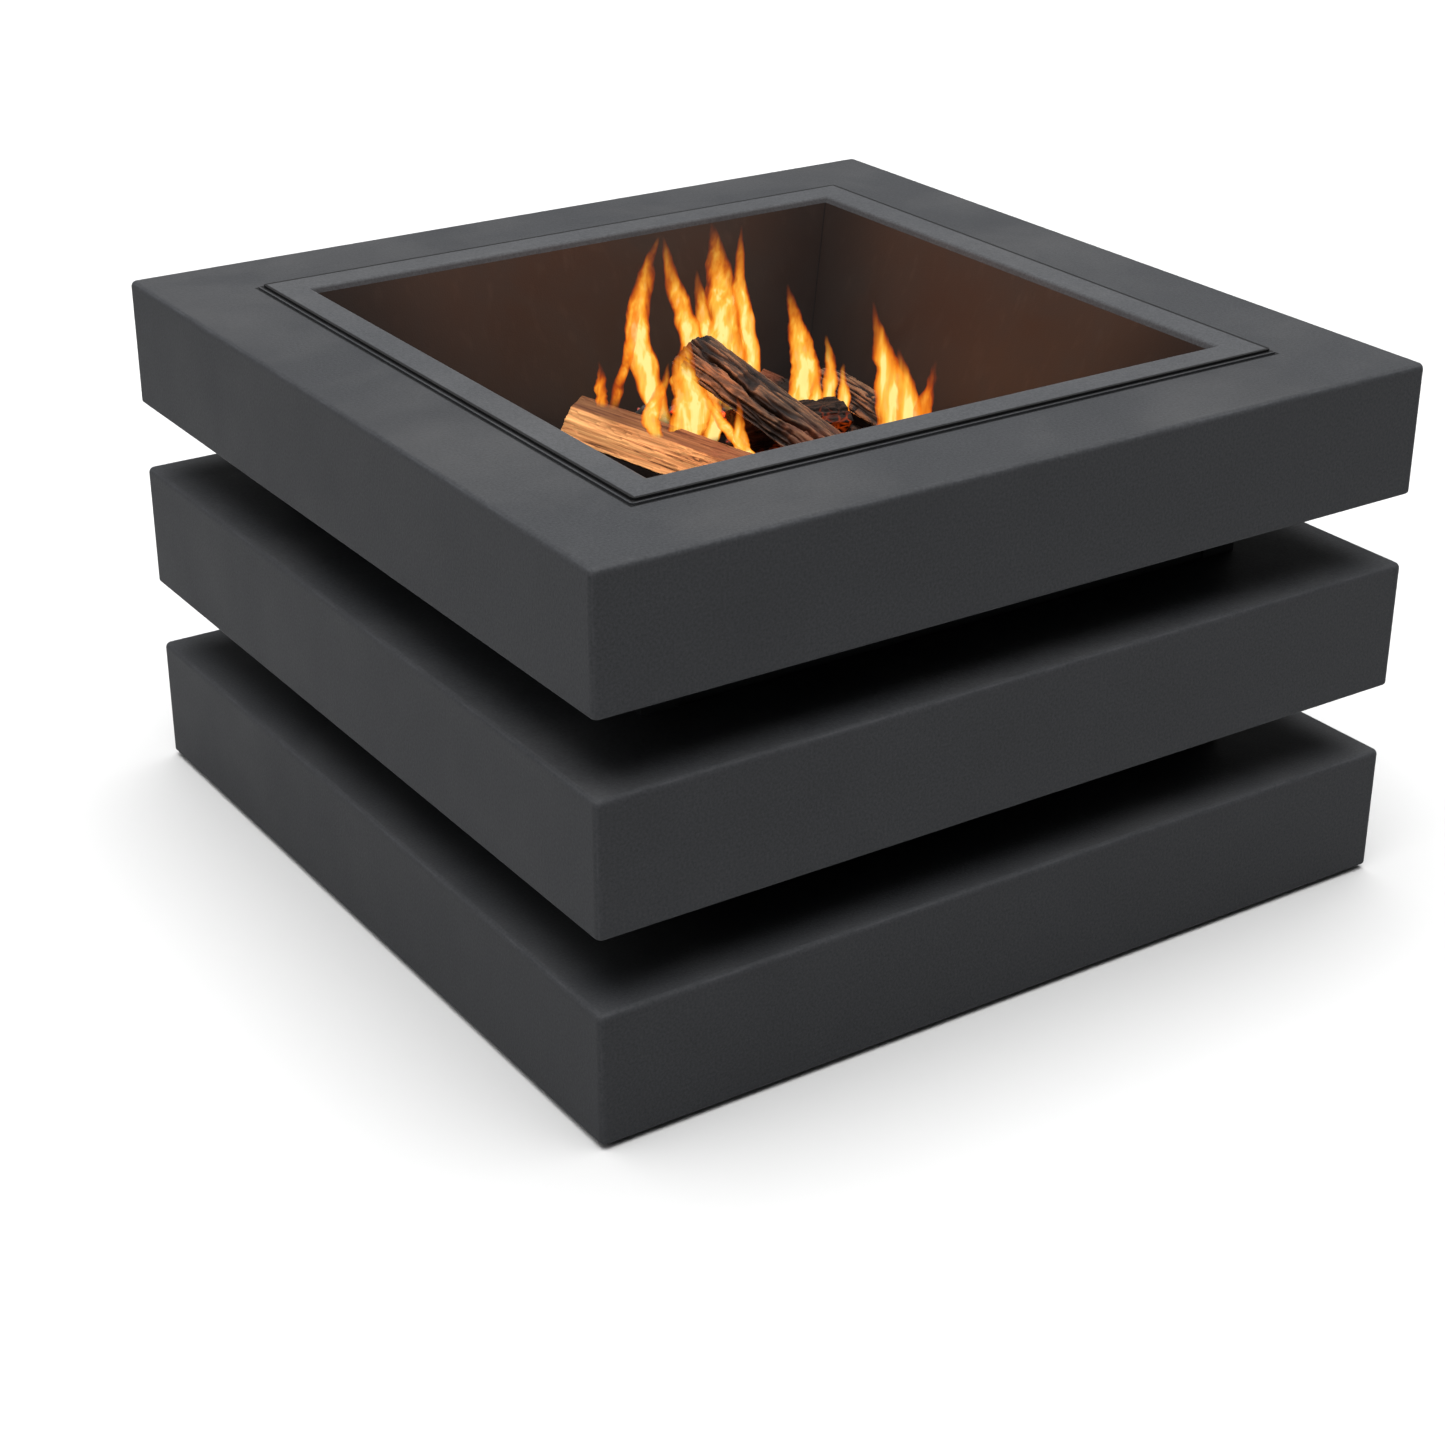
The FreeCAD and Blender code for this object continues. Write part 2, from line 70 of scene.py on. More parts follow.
# ------------------------------------------------------------------ small helpers
def linear(colour: str) -> tuple[float, float, float, float]:
    """Turn an sRGB hex colour into linear RGBA.

    Args:
        colour: six hex digits after a hash sign.

    Returns:
        Linear red, green, blue and an alpha of 1.
    """
    parts = [int(colour[i:i + 2], 16) / 255 for i in (1, 3, 5)]
    red, green, blue = (c / 12.92 if c <= 0.04045 else ((c + 0.055) / 1.055) ** 2.4 for c in parts)
    return red, green, blue, 1.0


def per(size_mm: float) -> float:
    """Return the texture scale whose features are about size_mm wide."""
    return 1.0 / (size_mm * MM)


def add(tree: Tree, kind: str, inputs: dict[str | int, Any] | None = None, out: str | int = 0,
        stops: Sequence[tuple[float, str]] = (), **settings: Any) -> Socket:
    """Add one node with its settings and links.

    Args:
        tree: node tree that gets the node.
        kind: Blender's name of the node type, without its ShaderNode prefix.
        inputs: input name or number to a value, or to the output socket that feeds it.
        out: the output to return.
        stops: places and hex colours of a colour ramp.
        settings: attributes to set on the node.

    Returns:
        The chosen output socket, ready to be another node's input.
    """
    made = tree.nodes.new("ShaderNode" + kind)
    for name, value in settings.items():
        setattr(made, name, value)
    for number, (place, colour) in enumerate(stops):
        elements = made.color_ramp.elements
        stop = elements[number] if number < len(elements) else elements.new(place)
        stop.position = place
        stop.color = linear(colour)
    for name, value in (inputs or {}).items():
        if isinstance(value, Socket):
            tree.links.new(value, made.inputs[name])
        else:
            made.inputs[name].default_value = value
    return made.outputs[out] if made.outputs else None


def mesh_object(name: str, points: Iterable[Sequence[float]], faces: Iterable[Sequence[int]],
                smooth: bool = True) -> bpy.types.Object:
    """Make a linked mesh object from points and faces.

    Args:
        name: name of the piece.
        points: corner places.
        faces: corner numbers of each face.
        smooth: whether the faces are shaded smooth.

    Returns:
        The new object.
    """
    mesh = bpy.data.meshes.new(name)
    mesh.from_pydata([tuple(p) for p in points], [], [tuple(f) for f in faces])
    mesh.polygons.foreach_set("use_smooth", [smooth] * len(mesh.polygons))
    made = bpy.data.objects.new(name, mesh)
    bpy.context.scene.collection.objects.link(made)
    return made


def outward(piece: bpy.types.Object) -> None:
    """Turn the faces of a closed piece outwards."""
    work = bmesh.new()
    work.from_mesh(piece.data)
    bmesh.ops.recalc_face_normals(work, faces=work.faces)
    work.to_mesh(piece.data)
    work.free()


def fibre(x: float, y: float, z: float, octaves: int = 3) -> float:
    """Return fractal noise from about -1 to 1 at a place given in noise cells."""
    return noise.fractal(Vector((x, y, z)), 0.8, 2.1, octaves, noise_basis="PERLIN_ORIGINAL")


# ------------------------------------------------------------------ finishes
@dataclass(frozen=True)
class Finish:
    """How one real material looks, made as a node tree."""

    name: str

    def surface(self, tree: Tree) -> Socket:
        """Return the shader output of this finish."""
        raise NotImplementedError

    def material(self) -> bpy.types.Material:
        """Return the material, made the first time it is asked for."""
        made = bpy.data.materials.get(self.name)
        if made is None:
            made = bpy.data.materials.new(self.name)
            made.use_nodes = True
            made.node_tree.nodes.clear()
            shader = self.surface(made.node_tree)
            add(made.node_tree, "OutputMaterial", {"Surface": shader})
        return made

    def dress(self, piece: bpy.types.Object, index: int = 0) -> None:
        """Put this finish in one material place of a piece."""
        while len(piece.data.materials) <= index:
            piece.data.materials.append(None)
        piece.data.materials[index] = self.material()


@dataclass(frozen=True)
class PowderCoat(Finish):
    """Steel with sprayed and baked fine-texture powder coat.

    The powder melts into a matt skin of tiny pits and peaks, so highlights are broad and soft and the
    tone is lightly mottled. The coat is thinner and paler on sharp folds, and ash dust settles on what
    faces up near the fire.
    """

    tone: str = "#2b2c2e"
    pale: str = "#2f3032"
    worn: str = "#4c4d50"
    # Half width, base and top of the box whose edges are worn, or none.
    edges: tuple[float, float, float] | None = None
    dust: float = 0.05
    # Half widths of the squares where a part sits on a top face: each gets a dark line of grime and painted
    # shadow.
    joints: tuple[float, ...] = ()
    # Half width of a flange whose own edge gets a dark line of handling grime and painted shadow, or none.
    rim: float | None = None
    worn_width: float = 2.2 * MM
    # Real grit is about 0.3 mm and is drawn this coarse so that it shows.
    grit_mm: float = 2.0

    def edge_mask(self, tree: Tree, place: Socket) -> Socket:
        """Return 1 along the outer edges of the worn box and 0 elsewhere."""
        half, base, top = self.edges
        middle = (base + top) / 2
        parts = [add(tree, "SeparateXYZ", {0: place}, out=axis) for axis in ("X", "Y", "Z")]
        gaps = []
        for part, centre, reach in zip(parts, (0.0, 0.0, middle), (half, half, (top - base) / 2)):
            offset = add(tree, "Math", {0: part, 1: centre}, operation="SUBTRACT")
            far = add(tree, "Math", {0: offset}, operation="ABSOLUTE")
            gaps.append(add(tree, "Math", {0: reach, 1: far}, operation="SUBTRACT"))
        pairs = [add(tree, "Math", {0: gaps[a], 1: gaps[b]}, operation="MAXIMUM")
                 for a, b in ((0, 1), (0, 2), (1, 2))]
        closest = add(tree, "Math", {0: pairs[0], 1: pairs[1]}, operation="MINIMUM")
        closest = add(tree, "Math", {0: closest, 1: pairs[2]}, operation="MINIMUM")
        rubbed = add(tree, "TexNoise", {"Vector": place, "Scale": per(22), "Detail": 5.0})
        edge = add(tree, "MapRange", {"Value": closest, "From Min": 0.0, "From Max": self.worn_width,
                                      "To Min": 1.0, "To Max": 0.0})
        patchy = add(tree, "MapRange", {"Value": rubbed, "From Min": 0.42, "From Max": 0.68, "To Min": 0.12,
                                        "To Max": 0.6})
        return add(tree, "Math", {0: edge, 1: patchy}, operation="MULTIPLY")

    def grime_and_shadow_line_mask(self, tree: Tree, place: Socket, middle: float, even: float, width: float) -> Socket:
        """Return a dark square line of grime and painted shadow, seen from above.

        Args:
            tree: node tree of the finish.
            place: object coordinates.
            middle: half width of the square that the line runs along.
            even: distance from that square over which the line is fully dark.
            width: distance at which it ends.

        Returns:
            The mask, 0 away from the line.
        """
        reach = []
        for axis in ("X", "Y"):
            part = add(tree, "SeparateXYZ", {0: place}, out=axis)
            reach.append(add(tree, "Math", {0: part}, operation="ABSOLUTE"))
        far = add(tree, "Math", {0: reach[0], 1: reach[1]}, operation="MAXIMUM")
        gap = add(tree, "Math", {0: far, 1: middle}, operation="SUBTRACT")
        gap = add(tree, "Math", {0: gap}, operation="ABSOLUTE")
        return add(tree, "MapRange", {"Value": gap, "From Min": even, "From Max": width, "To Min": 0.9,
                                      "To Max": 0.0})

    def dust_mask(self, tree: Tree, place: Socket) -> Socket:
        """Return where pale ash dust lies: on what faces up, in faint drifts."""
        normal = add(tree, "NewGeometry", out="Normal")
        up = add(tree, "SeparateXYZ", {0: normal}, out="Z")
        flat = add(tree, "MapRange", {"Value": up, "From Min": 0.85, "From Max": 1.0})
        drift = add(tree, "TexNoise", {"Vector": place, "Scale": per(160), "Detail": 6.0, "Roughness": 0.62,
                                       "Distortion": 0.4})
        drift = add(tree, "MapRange", {"Value": drift, "From Min": 0.45, "From Max": 0.75,
                                       "To Max": self.dust})
        return add(tree, "Math", {0: flat, 1: drift}, operation="MULTIPLY")

    def surface(self, tree: Tree) -> Socket:
        """Return the coat's shader."""
        place = add(tree, "TexCoord", out="Object")
        grit = add(tree, "TexNoise", {"Vector": place, "Scale": per(self.grit_mm), "Detail": 3.0,
                                      "Roughness": 0.65})
        cloud = add(tree, "TexNoise", {"Vector": place, "Scale": per(75), "Detail": 5.0, "Roughness": 0.6})
        mottle = add(tree, "MapRange", {"Value": cloud, "From Min": 0.32, "From Max": 0.68})
        colour = add(tree, "MixRGB", {"Fac": mottle, "Color1": linear(self.tone),
                                      "Color2": linear(self.pale)})
        peaks = add(tree, "MapRange", {"Value": grit, "From Min": 0.3, "From Max": 0.75, "To Min": 0.76,
                                       "To Max": 1.26})
        colour = add(tree, "VectorMath", {0: colour, "Scale": peaks}, operation="SCALE")
        if self.dust > 0:
            colour = add(tree, "MixRGB", {"Fac": self.dust_mask(tree, place), "Color1": colour,
                                          "Color2": linear("#8d8a86")})
        if self.edges is not None:
            colour = add(tree, "MixRGB", {"Fac": self.edge_mask(tree, place), "Color1": colour,
                                          "Color2": linear(self.worn)})
        # Dark lines of grime and painted shadow where a part sits on this one, and along a flange's own edge.
        lines = [(half + 0.5 * MM, 0.6 * MM, 1.6 * MM) for half in self.joints]
        if self.rim is not None:
            lines.append((self.rim - 0.6 * MM, 1.4 * MM, 2.4 * MM))
        for line in lines:
            colour = add(tree, "MixRGB", {"Fac": self.grime_and_shadow_line_mask(tree, place, *line), "Color1": colour,
                                          "Color2": linear("#080808")})
        rough = add(tree, "MapRange", {"Value": mottle, "To Min": 0.56, "To Max": 0.68})
        pits = add(tree, "Bump", {"Height": grit, "Strength": 0.5, "Distance": 0.3 * MM})
        waves = add(tree, "TexNoise", {"Vector": place, "Scale": per(140), "Detail": 1.0})
        skin = add(tree, "Bump", {"Height": waves, "Strength": 0.12, "Distance": 2.0 * MM, "Normal": pits})
        return add(tree, "BsdfPrincipled", {
            "Base Color": colour, "Roughness": rough, "Normal": skin, "Specular IOR Level": 0.1})


@dataclass(frozen=True)
class HeatPaint(Finish):
    """Steel sheet sprayed with stove paint and browned by fires.

    Heat turns the flat black paint to warm brown in cloudy patches and ash leaves pale runs.
    The paint is darker towards the floor, and soot and painted shade darken the corners.
    """

    rim: float = 0.417
    floor: float = 0.234
    seam_even: float = 0.6 * MM
    seam_end: float = 3.0 * MM
    soot_and_shade_reach: float = 120 * MM

    def surface(self, tree: Tree) -> Socket:
        """Return the paint's shader."""
        place = add(tree, "TexCoord", out="Object")
        height = add(tree, "SeparateXYZ", {0: place}, out="Z")
        deep = add(tree, "MapRange", {"Value": height, "From Min": self.rim, "From Max": self.floor})
        cloud = add(tree, "TexNoise", {"Vector": place, "Scale": per(70), "Detail": 6.0, "Roughness": 0.6,
                                       "Distortion": 0.6})
        warm = add(tree, "MapRange", {"Value": cloud, "From Min": 0.25, "From Max": 0.75})
        colour = add(tree, "MixRGB", {"Fac": warm, "Color1": linear("#2a211c"),
                                      "Color2": linear("#35241b")})
        stretched = add(tree, "Mapping", {"Vector": place, "Scale": (1.0, 1.0, 0.12)})
        runs = add(tree, "TexNoise", {"Vector": stretched, "Scale": per(9), "Detail": 4.0})
        runs = add(tree, "MapRange", {"Value": runs, "From Min": 0.56, "From Max": 0.8, "To Max": 0.22})
        colour = add(tree, "MixRGB", {"Fac": runs, "Color1": colour, "Color2": linear("#4a3a30")})
        drift = add(tree, "MapRange", {"Value": cloud, "To Min": -0.22, "To Max": 0.22})
        # Darker towards the floor of the bowl, in cloudy drifts.
        darker_towards_floor = add(tree, "Math", {0: deep, 1: drift}, operation="ADD")
        darker_towards_floor = add(tree, "MapRange", {"Value": darker_towards_floor, "From Min": 0.02, "From Max": 0.75, "To Max": 0.92})
        colour = add(tree, "MixRGB", {"Fac": darker_towards_floor, "Color1": colour, "Color2": linear("#120f0e")})
        # Soot and painted shade: a soft dark band into each corner, with a thin seam line.
        corner = self.corner_soot_and_shade_mask(tree, place)
        colour = add(tree, "MixRGB", {"Fac": corner, "Color1": colour, "Color2": linear("#0c0a0a")})
        grit = add(tree, "TexNoise", {"Vector": place, "Scale": per(1.3), "Detail": 3.0})
        rough = add(tree, "MapRange", {"Value": warm, "To Min": 0.62, "To Max": 0.48})
        pits = add(tree, "Bump", {"Height": grit, "Strength": 0.4, "Distance": 0.25 * MM})
        buckle = add(tree, "TexNoise", {"Vector": place, "Scale": per(110), "Detail": 1.0})
        skin = add(tree, "Bump", {"Height": buckle, "Strength": 0.25, "Distance": 3.0 * MM, "Normal": pits})
        return add(tree, "BsdfPrincipled", {
            "Base Color": colour, "Roughness": rough, "Normal": skin, "Specular IOR Level": 0.15})

    def corner_soot_and_shade_mask(self, tree: Tree, place: Socket) -> Socket:
        """Return the corner darkening: a thin dark seam line and a soft band of soot and painted shade."""
        ways = [add(tree, "SeparateXYZ", {0: place}, out=axis) for axis in ("X", "Y")]
        reach = [add(tree, "Math", {0: way}, operation="ABSOLUTE") for way in ways]
        apart = add(tree, "Math", {0: reach[0], 1: reach[1]}, operation="SUBTRACT")
        apart = add(tree, "Math", {0: apart}, operation="ABSOLUTE")
        seam = add(tree, "MapRange", {"Value": apart, "From Min": self.seam_even, "From Max": self.seam_end,
                                      "To Min": 0.9, "To Max": 0.0})
        soot_and_shade_band = add(tree, "MapRange", {"Value": apart, "From Min": 0.0, "From Max": self.soot_and_shade_reach,
                                       "To Min": 0.68, "To Max": 0.0}, interpolation_type="SMOOTHSTEP")
        return add(tree, "Math", {0: seam, 1: soot_and_shade_band}, operation="MAXIMUM")


@dataclass(frozen=True)
class ScaledSteel(Finish):
    """Hot-rolled steel bar after fires: grey-black mill scale with rust in the breaks and ash dust."""

    def surface(self, tree: Tree) -> Socket:
        """Return the steel's shader."""
        place = add(tree, "TexCoord", out="Object")
        flakes = add(tree, "TexNoise", {"Vector": place, "Scale": per(6), "Detail": 6.0, "Roughness": 0.7})
        rust = add(tree, "MapRange", {"Value": flakes, "From Min": 0.5, "From Max": 0.66})
        tone = add(tree, "ValToRGB", {"Fac": flakes},
                   stops=((0.3, "#1b1918"), (0.52, "#2b2725"), (0.7, "#4b3325")))
        dusty = add(tree, "TexNoise", {"Vector": place, "Scale": per(35), "Detail": 5.0})
        dusty = add(tree, "MapRange", {"Value": dusty, "From Min": 0.5, "From Max": 0.75, "To Max": 0.35})
        tone = add(tree, "MixRGB", {"Fac": dusty, "Color1": tone, "Color2": linear("#5e5954")})
        metal = add(tree, "MapRange", {"Value": rust, "To Min": 0.7, "To Max": 0.0})
        rough = add(tree, "MapRange", {"Value": rust, "To Min": 0.5, "To Max": 0.9})
        skin = add(tree, "Bump", {"Height": flakes, "Strength": 0.5, "Distance": 0.5 * MM})
        return add(tree, "BsdfPrincipled", {
            "Base Color": tone, "Metallic": metal, "Roughness": rough, "Normal": skin})


@dataclass(frozen=True)
class GalvanisedSheet(Finish):
    """Hot-dip galvanised sheet: dull zinc crystals of slightly different greys."""

    def surface(self, tree: Tree) -> Socket:
        """Return the sheet's shader."""
        place = add(tree, "TexCoord", out="Object")
        crystal = add(tree, "TexVoronoi", {"Vector": place, "Scale": per(14)}, out="Color")
        grey = add(tree, "RGBToBW", {0: crystal})
        tone = add(tree, "MapRange", {"Value": grey, "To Min": 0.32, "To Max": 0.5})
        colour = add(tree, "CombineColor", {0: tone, 1: tone, 2: tone})
        rough = add(tree, "MapRange", {"Value": grey, "To Min": 0.35, "To Max": 0.6})
        return add(tree, "BsdfPrincipled", {"Base Color": colour, "Metallic": 1.0, "Roughness": rough})


@dataclass(frozen=True)
class ZincPlate(Finish):
    """Turned steel fastener, bright zinc plated: faintly blue, with fine drawn lines and dull spots."""

    def surface(self, tree: Tree) -> Socket:
        """Return the plate's shader."""
        place = add(tree, "TexCoord", out="Object")
        lines = add(tree, "TexNoise", {"Vector": place, "Scale": per(0.8), "Detail": 3.0})
        dull = add(tree, "TexNoise", {"Vector": place, "Scale": per(7), "Detail": 4.0})
        tone = add(tree, "ValToRGB", {"Fac": dull}, stops=((0.35, "#b4b8bd"), (0.65, "#8f9296")))
        rough = add(tree, "MapRange", {"Value": dull, "To Min": 0.26, "To Max": 0.5})
        skin = add(tree, "Bump", {"Height": lines, "Strength": 0.2, "Distance": 0.1 * MM})
        return add(tree, "BsdfPrincipled", {
            "Base Color": tone, "Metallic": 1.0, "Roughness": rough, "Normal": skin})


@dataclass(frozen=True)
class MouldedRubber(Finish):
    """Moulded black EPDM rubber: soft sheen, faint mould grain and grey scuffs of dust."""

    def surface(self, tree: Tree) -> Socket:
        """Return the rubber's shader."""
        place = add(tree, "TexCoord", out="Object")
        grain = add(tree, "TexNoise", {"Vector": place, "Scale": per(0.9), "Detail": 2.0})
        scuff = add(tree, "TexNoise", {"Vector": place, "Scale": per(8), "Detail": 5.0})
        tone = add(tree, "ValToRGB", {"Fac": scuff}, stops=((0.45, "#1c1c1d"), (0.75, "#3a3937")))
        skin = add(tree, "Bump", {"Height": grain, "Strength": 0.3, "Distance": 0.15 * MM})
        return add(tree, "BsdfPrincipled", {
            "Base Color": tone, "Roughness": 0.72, "Normal": skin, "Specular IOR Level": 0.35})


@dataclass(frozen=True)
class Wood(Finish):
    """Base of the three faces of firewood: each chars towards one end.

    The log's own X axis is its length. char_start and char_end are shares of the length between which
    the wood goes from clean to black.
    """

    length: float = 0.24
    char_start: float = 0.55
    char_end: float = 0.95
    glow: float = 3.0

    def char_mask(self, tree: Tree, place: Socket) -> Socket:
        """Return how far the wood is charred, with a ragged front."""
        along = add(tree, "SeparateXYZ", {0: place}, out="X")
        share = add(tree, "MapRange", {"Value": along, "From Min": -self.length / 2,
                                       "From Max": self.length / 2}, clamp=False)
        stretched = add(tree, "Mapping", {"Vector": place, "Scale": (0.35, 1.0, 1.0)})
        ragged = add(tree, "TexNoise", {"Vector": stretched, "Scale": per(16), "Detail": 5.0,
                                        "Roughness": 0.65})
        ragged = add(tree, "MapRange", {"Value": ragged, "From Min": 0.25, "From Max": 0.75,
                                        "To Min": -0.22, "To Max": 0.22})
        front = add(tree, "Math", {0: share, 1: ragged}, operation="ADD")
        return add(tree, "MapRange", {"Value": front, "From Min": self.char_start,
                                      "From Max": self.char_end})

    def charred(self, tree: Tree, place: Socket, clean: Socket, height: Socket) -> Socket:
        """Cover a clean wood colour with char and return the shader.

        Args:
            tree: node tree of the finish.
            place: the log's own coordinates.
            clean: colour of the clean wood.
            height: relief for the bump.

        Returns:
            The wood's shader.
        """
        char = self.char_mask(tree, place)
        scorched = add(tree, "MapRange", {"Value": char, "From Max": 0.45, "To Max": 0.85})
        colour = add(tree, "MixRGB", {"Fac": scorched, "Color1": clean, "Color2": linear("#5b3220")})
        black = add(tree, "MapRange", {"Value": char, "From Min": 0.35, "From Max": 0.9})
        colour = add(tree, "MixRGB", {"Fac": black, "Color1": colour, "Color2": linear("#15110f")})
        cells = add(tree, "TexVoronoi", {"Vector": place, "Scale": per(9), "Randomness": 0.9},
                    out="Distance", feature="DISTANCE_TO_EDGE")
        cracks = add(tree, "MapRange", {"Value": cells, "From Max": 0.12, "To Min": 1.0, "To Max": 0.0})
        depth = add(tree, "Math", {0: cracks, 1: black}, operation="MULTIPLY")
        relief = add(tree, "Math", {0: height, 1: depth}, operation="SUBTRACT")
        skin = add(tree, "Bump", {"Height": relief, "Strength": 0.7, "Distance": 0.9 * MM})
        glow_place = add(tree, "TexNoise", {"Vector": place, "Scale": per(28), "Detail": 3.0})
        glow_place = add(tree, "MapRange", {"Value": glow_place, "From Min": 0.54, "From Max": 0.7})
        glow = add(tree, "Math", {0: depth, 1: glow_place}, operation="MULTIPLY")
        rough = add(tree, "MapRange", {"Value": black, "To Min": 0.68, "To Max": 0.85})
        return add(tree, "BsdfPrincipled", {
            "Base Color": colour, "Roughness": rough, "Normal": skin, "Specular IOR Level": 0.1,
            "Emission Color": linear("#ff5a12"), "Emission Strength": add(
                tree, "Math", {0: glow, 1: self.glow}, operation="MULTIPLY")})


@dataclass(frozen=True)
class SplitFace(Wood):
    """Spruce firewood, split with an axe: pale fibres torn along the grain, with dark late wood."""

    early: str = "#c28250"
    late: str = "#5c371f"
    # Colour of the split faces that look up: painted shade.
    upward_shade_colour: str = "#432617"

    def surface(self, tree: Tree) -> Socket:
        """Return the split wood's shader."""
        place = add(tree, "TexCoord", out="Object")
        drawn = add(tree, "Mapping", {"Vector": place, "Scale": (0.03, 1.0, 1.0)})
        rings = add(tree, "TexNoise", {"Vector": drawn, "Scale": per(5.5), "Detail": 4.0, "Roughness": 0.62,
                                       "Distortion": 0.2})
        fine = add(tree, "TexNoise", {"Vector": drawn, "Scale": per(1.1), "Detail": 3.0})
        tone = add(tree, "ValToRGB", {"Fac": rings},
                   stops=((0.38, self.late), (0.43, self.early), (0.56, "#d39a62"), (0.6, self.early),
                          (0.63, self.late), (0.66, self.early)))
        threads = add(tree, "MapRange", {"Value": fine, "From Min": 0.3, "From Max": 0.7, "To Min": 0.78,
                                         "To Max": 1.14})
        tone = add(tree, "VectorMath", {0: tone, "Scale": threads}, operation="SCALE")
        # Painted shade: the deeper the fibres are torn in, the darker they are.
        torn = add(tree, "Attribute", out="Fac", attribute_name="relief")
        shade = add(tree, "MapRange", {"Value": torn, "To Min": 0.42, "To Max": 1.1})
        tone = add(tree, "VectorMath", {0: tone, "Scale": shade}, operation="SCALE")
        # Painted shade: split faces that look up are darker.
        up = add(tree, "Attribute", out="Fac", attribute_name="upward")
        weathered = add(tree, "MapRange", {"Value": up, "From Min": 0.68, "From Max": 0.78, "To Max": 0.85})
        upward_shaded_tone = add(tree, "VectorMath", {0: linear(self.upward_shade_colour)[:3], "Scale": threads}, operation="SCALE")
        tone = add(tree, "MixRGB", {"Fac": weathered, "Color1": tone, "Color2": upward_shaded_tone})
        return self.charred(tree, place, tone, rings)


@dataclass(frozen=True)
class Bark(Wood):
    """Pine bark left on firewood: grey-brown plates over deep furrows of darker bark and painted shade."""

    plate: str = "#34281f"
    furrow: str = "#0c0908"

    def surface(self, tree: Tree) -> Socket:
        """Return the bark's shader."""
        place = add(tree, "TexCoord", out="Object")
        drawn = add(tree, "Mapping", {"Vector": place, "Scale": (0.22, 1.0, 1.0)})
        scales = add(tree, "TexNoise", {"Vector": drawn, "Scale": per(4), "Detail": 6.0, "Roughness": 0.7})
        high = add(tree, "Attribute", out="Fac", attribute_name="relief")
        blend = add(tree, "MapRange", {"Value": scales, "From Min": 0.3, "From Max": 0.7, "To Min": -0.2,
                                       "To Max": 0.2})
        level = add(tree, "Math", {0: high, 1: blend}, operation="ADD")
        # Deeper in the furrows the bark is darker: its own colour, with painted shade down to near black.
        tone = add(tree, "ValToRGB", {"Fac": level},
                   stops=((0.3, self.furrow), (0.58, "#1d1613"), (0.84, self.plate), (1.0, "#56402e")))
        return self.charred(tree, place, tone, scales)


@dataclass(frozen=True)
class EndGrain(Wood):
    """Sawn end of a log: growth rings round the heart, radial drying checks and saw marks."""

    heart: tuple[float, float] = (0.0, 0.0)

    def surface(self, tree: Tree) -> Socket:
        """Return the end grain's shader."""
        place = add(tree, "TexCoord", out="Object")
        centred = add(tree, "Mapping", {
            "Vector": place, "Location": (0.0, -self.heart[0], -self.heart[1]), "Scale": (0.0, 1.0, 1.0)})
        wander = add(tree, "TexNoise", {"Vector": place, "Scale": per(18), "Detail": 3.0})
        radius = add(tree, "VectorMath", {0: centred}, out="Value", operation="LENGTH")
        bent = add(tree, "MapRange", {"Value": wander, "To Min": -2.5 * MM, "To Max": 2.5 * MM})
        radius = add(tree, "Math", {0: radius, 1: bent}, operation="ADD")
        turns = add(tree, "Math", {0: radius, 1: 2 * math.pi * per(2.6)}, operation="MULTIPLY")
        ring = add(tree, "Math", {0: turns}, operation="SINE")
        ring = add(tree, "MapRange", {"Value": ring, "From Min": -1.0, "From Max": 1.0})
        tone = add(tree, "MixRGB", {"Fac": ring, "Color1": linear("#9a6a42"), "Color2": linear("#5f3a22")})
        grime = add(tree, "TexNoise", {"Vector": place, "Scale": per(7), "Detail": 5.0})
        grime = add(tree, "MapRange", {"Value": grime, "From Min": 0.42, "From Max": 0.62, "To Max": 0.7})
        tone = add(tree, "MixRGB", {"Fac": grime, "Color1": tone, "Color2": linear("#4a3323")})
        return self.charred(tree, place, tone, ring)


@dataclass(frozen=True)
class Coal(Finish):
    """Burning charcoal: black lumps, grey ash on top and an orange glow in the cracks and undersides."""

    glow: float = 4.0

    def surface(self, tree: Tree) -> Socket:
        """Return the coal's shader."""
        place = add(tree, "TexCoord", out="Object")
        lumps = add(tree, "TexNoise", {"Vector": place, "Scale": per(11), "Detail": 5.0})
        normal = add(tree, "NewGeometry", out="Normal")
        up = add(tree, "SeparateXYZ", {0: normal}, out="Z")
        ash = add(tree, "Math", {0: up, 1: lumps}, operation="MULTIPLY")
        ash = add(tree, "MapRange", {"Value": ash, "From Min": 0.34, "From Max": 0.6})
        tone = add(tree, "MixRGB", {"Fac": ash, "Color1": linear("#1a1513"), "Color2": linear("#4d4743")})
        heat = add(tree, "MapRange", {"Value": lumps, "From Min": 0.54, "From Max": 0.74})
        hot = add(tree, "ValToRGB", {"Fac": heat},
                  stops=((0.0, "#7a1402"), (0.6, "#ff4206"), (1.0, "#ff9a30")))
        covered = add(tree, "MapRange", {"Value": ash, "To Min": self.glow, "To Max": 0.2})
        power = add(tree, "Math", {0: heat, 1: covered}, operation="MULTIPLY")
        skin = add(tree, "Bump", {"Height": lumps, "Strength": 0.6, "Distance": 1.0 * MM})
        return add(tree, "BsdfPrincipled", {
            "Base Color": tone, "Roughness": 0.9, "Normal": skin, "Emission Color": hot,
            "Emission Strength": power})


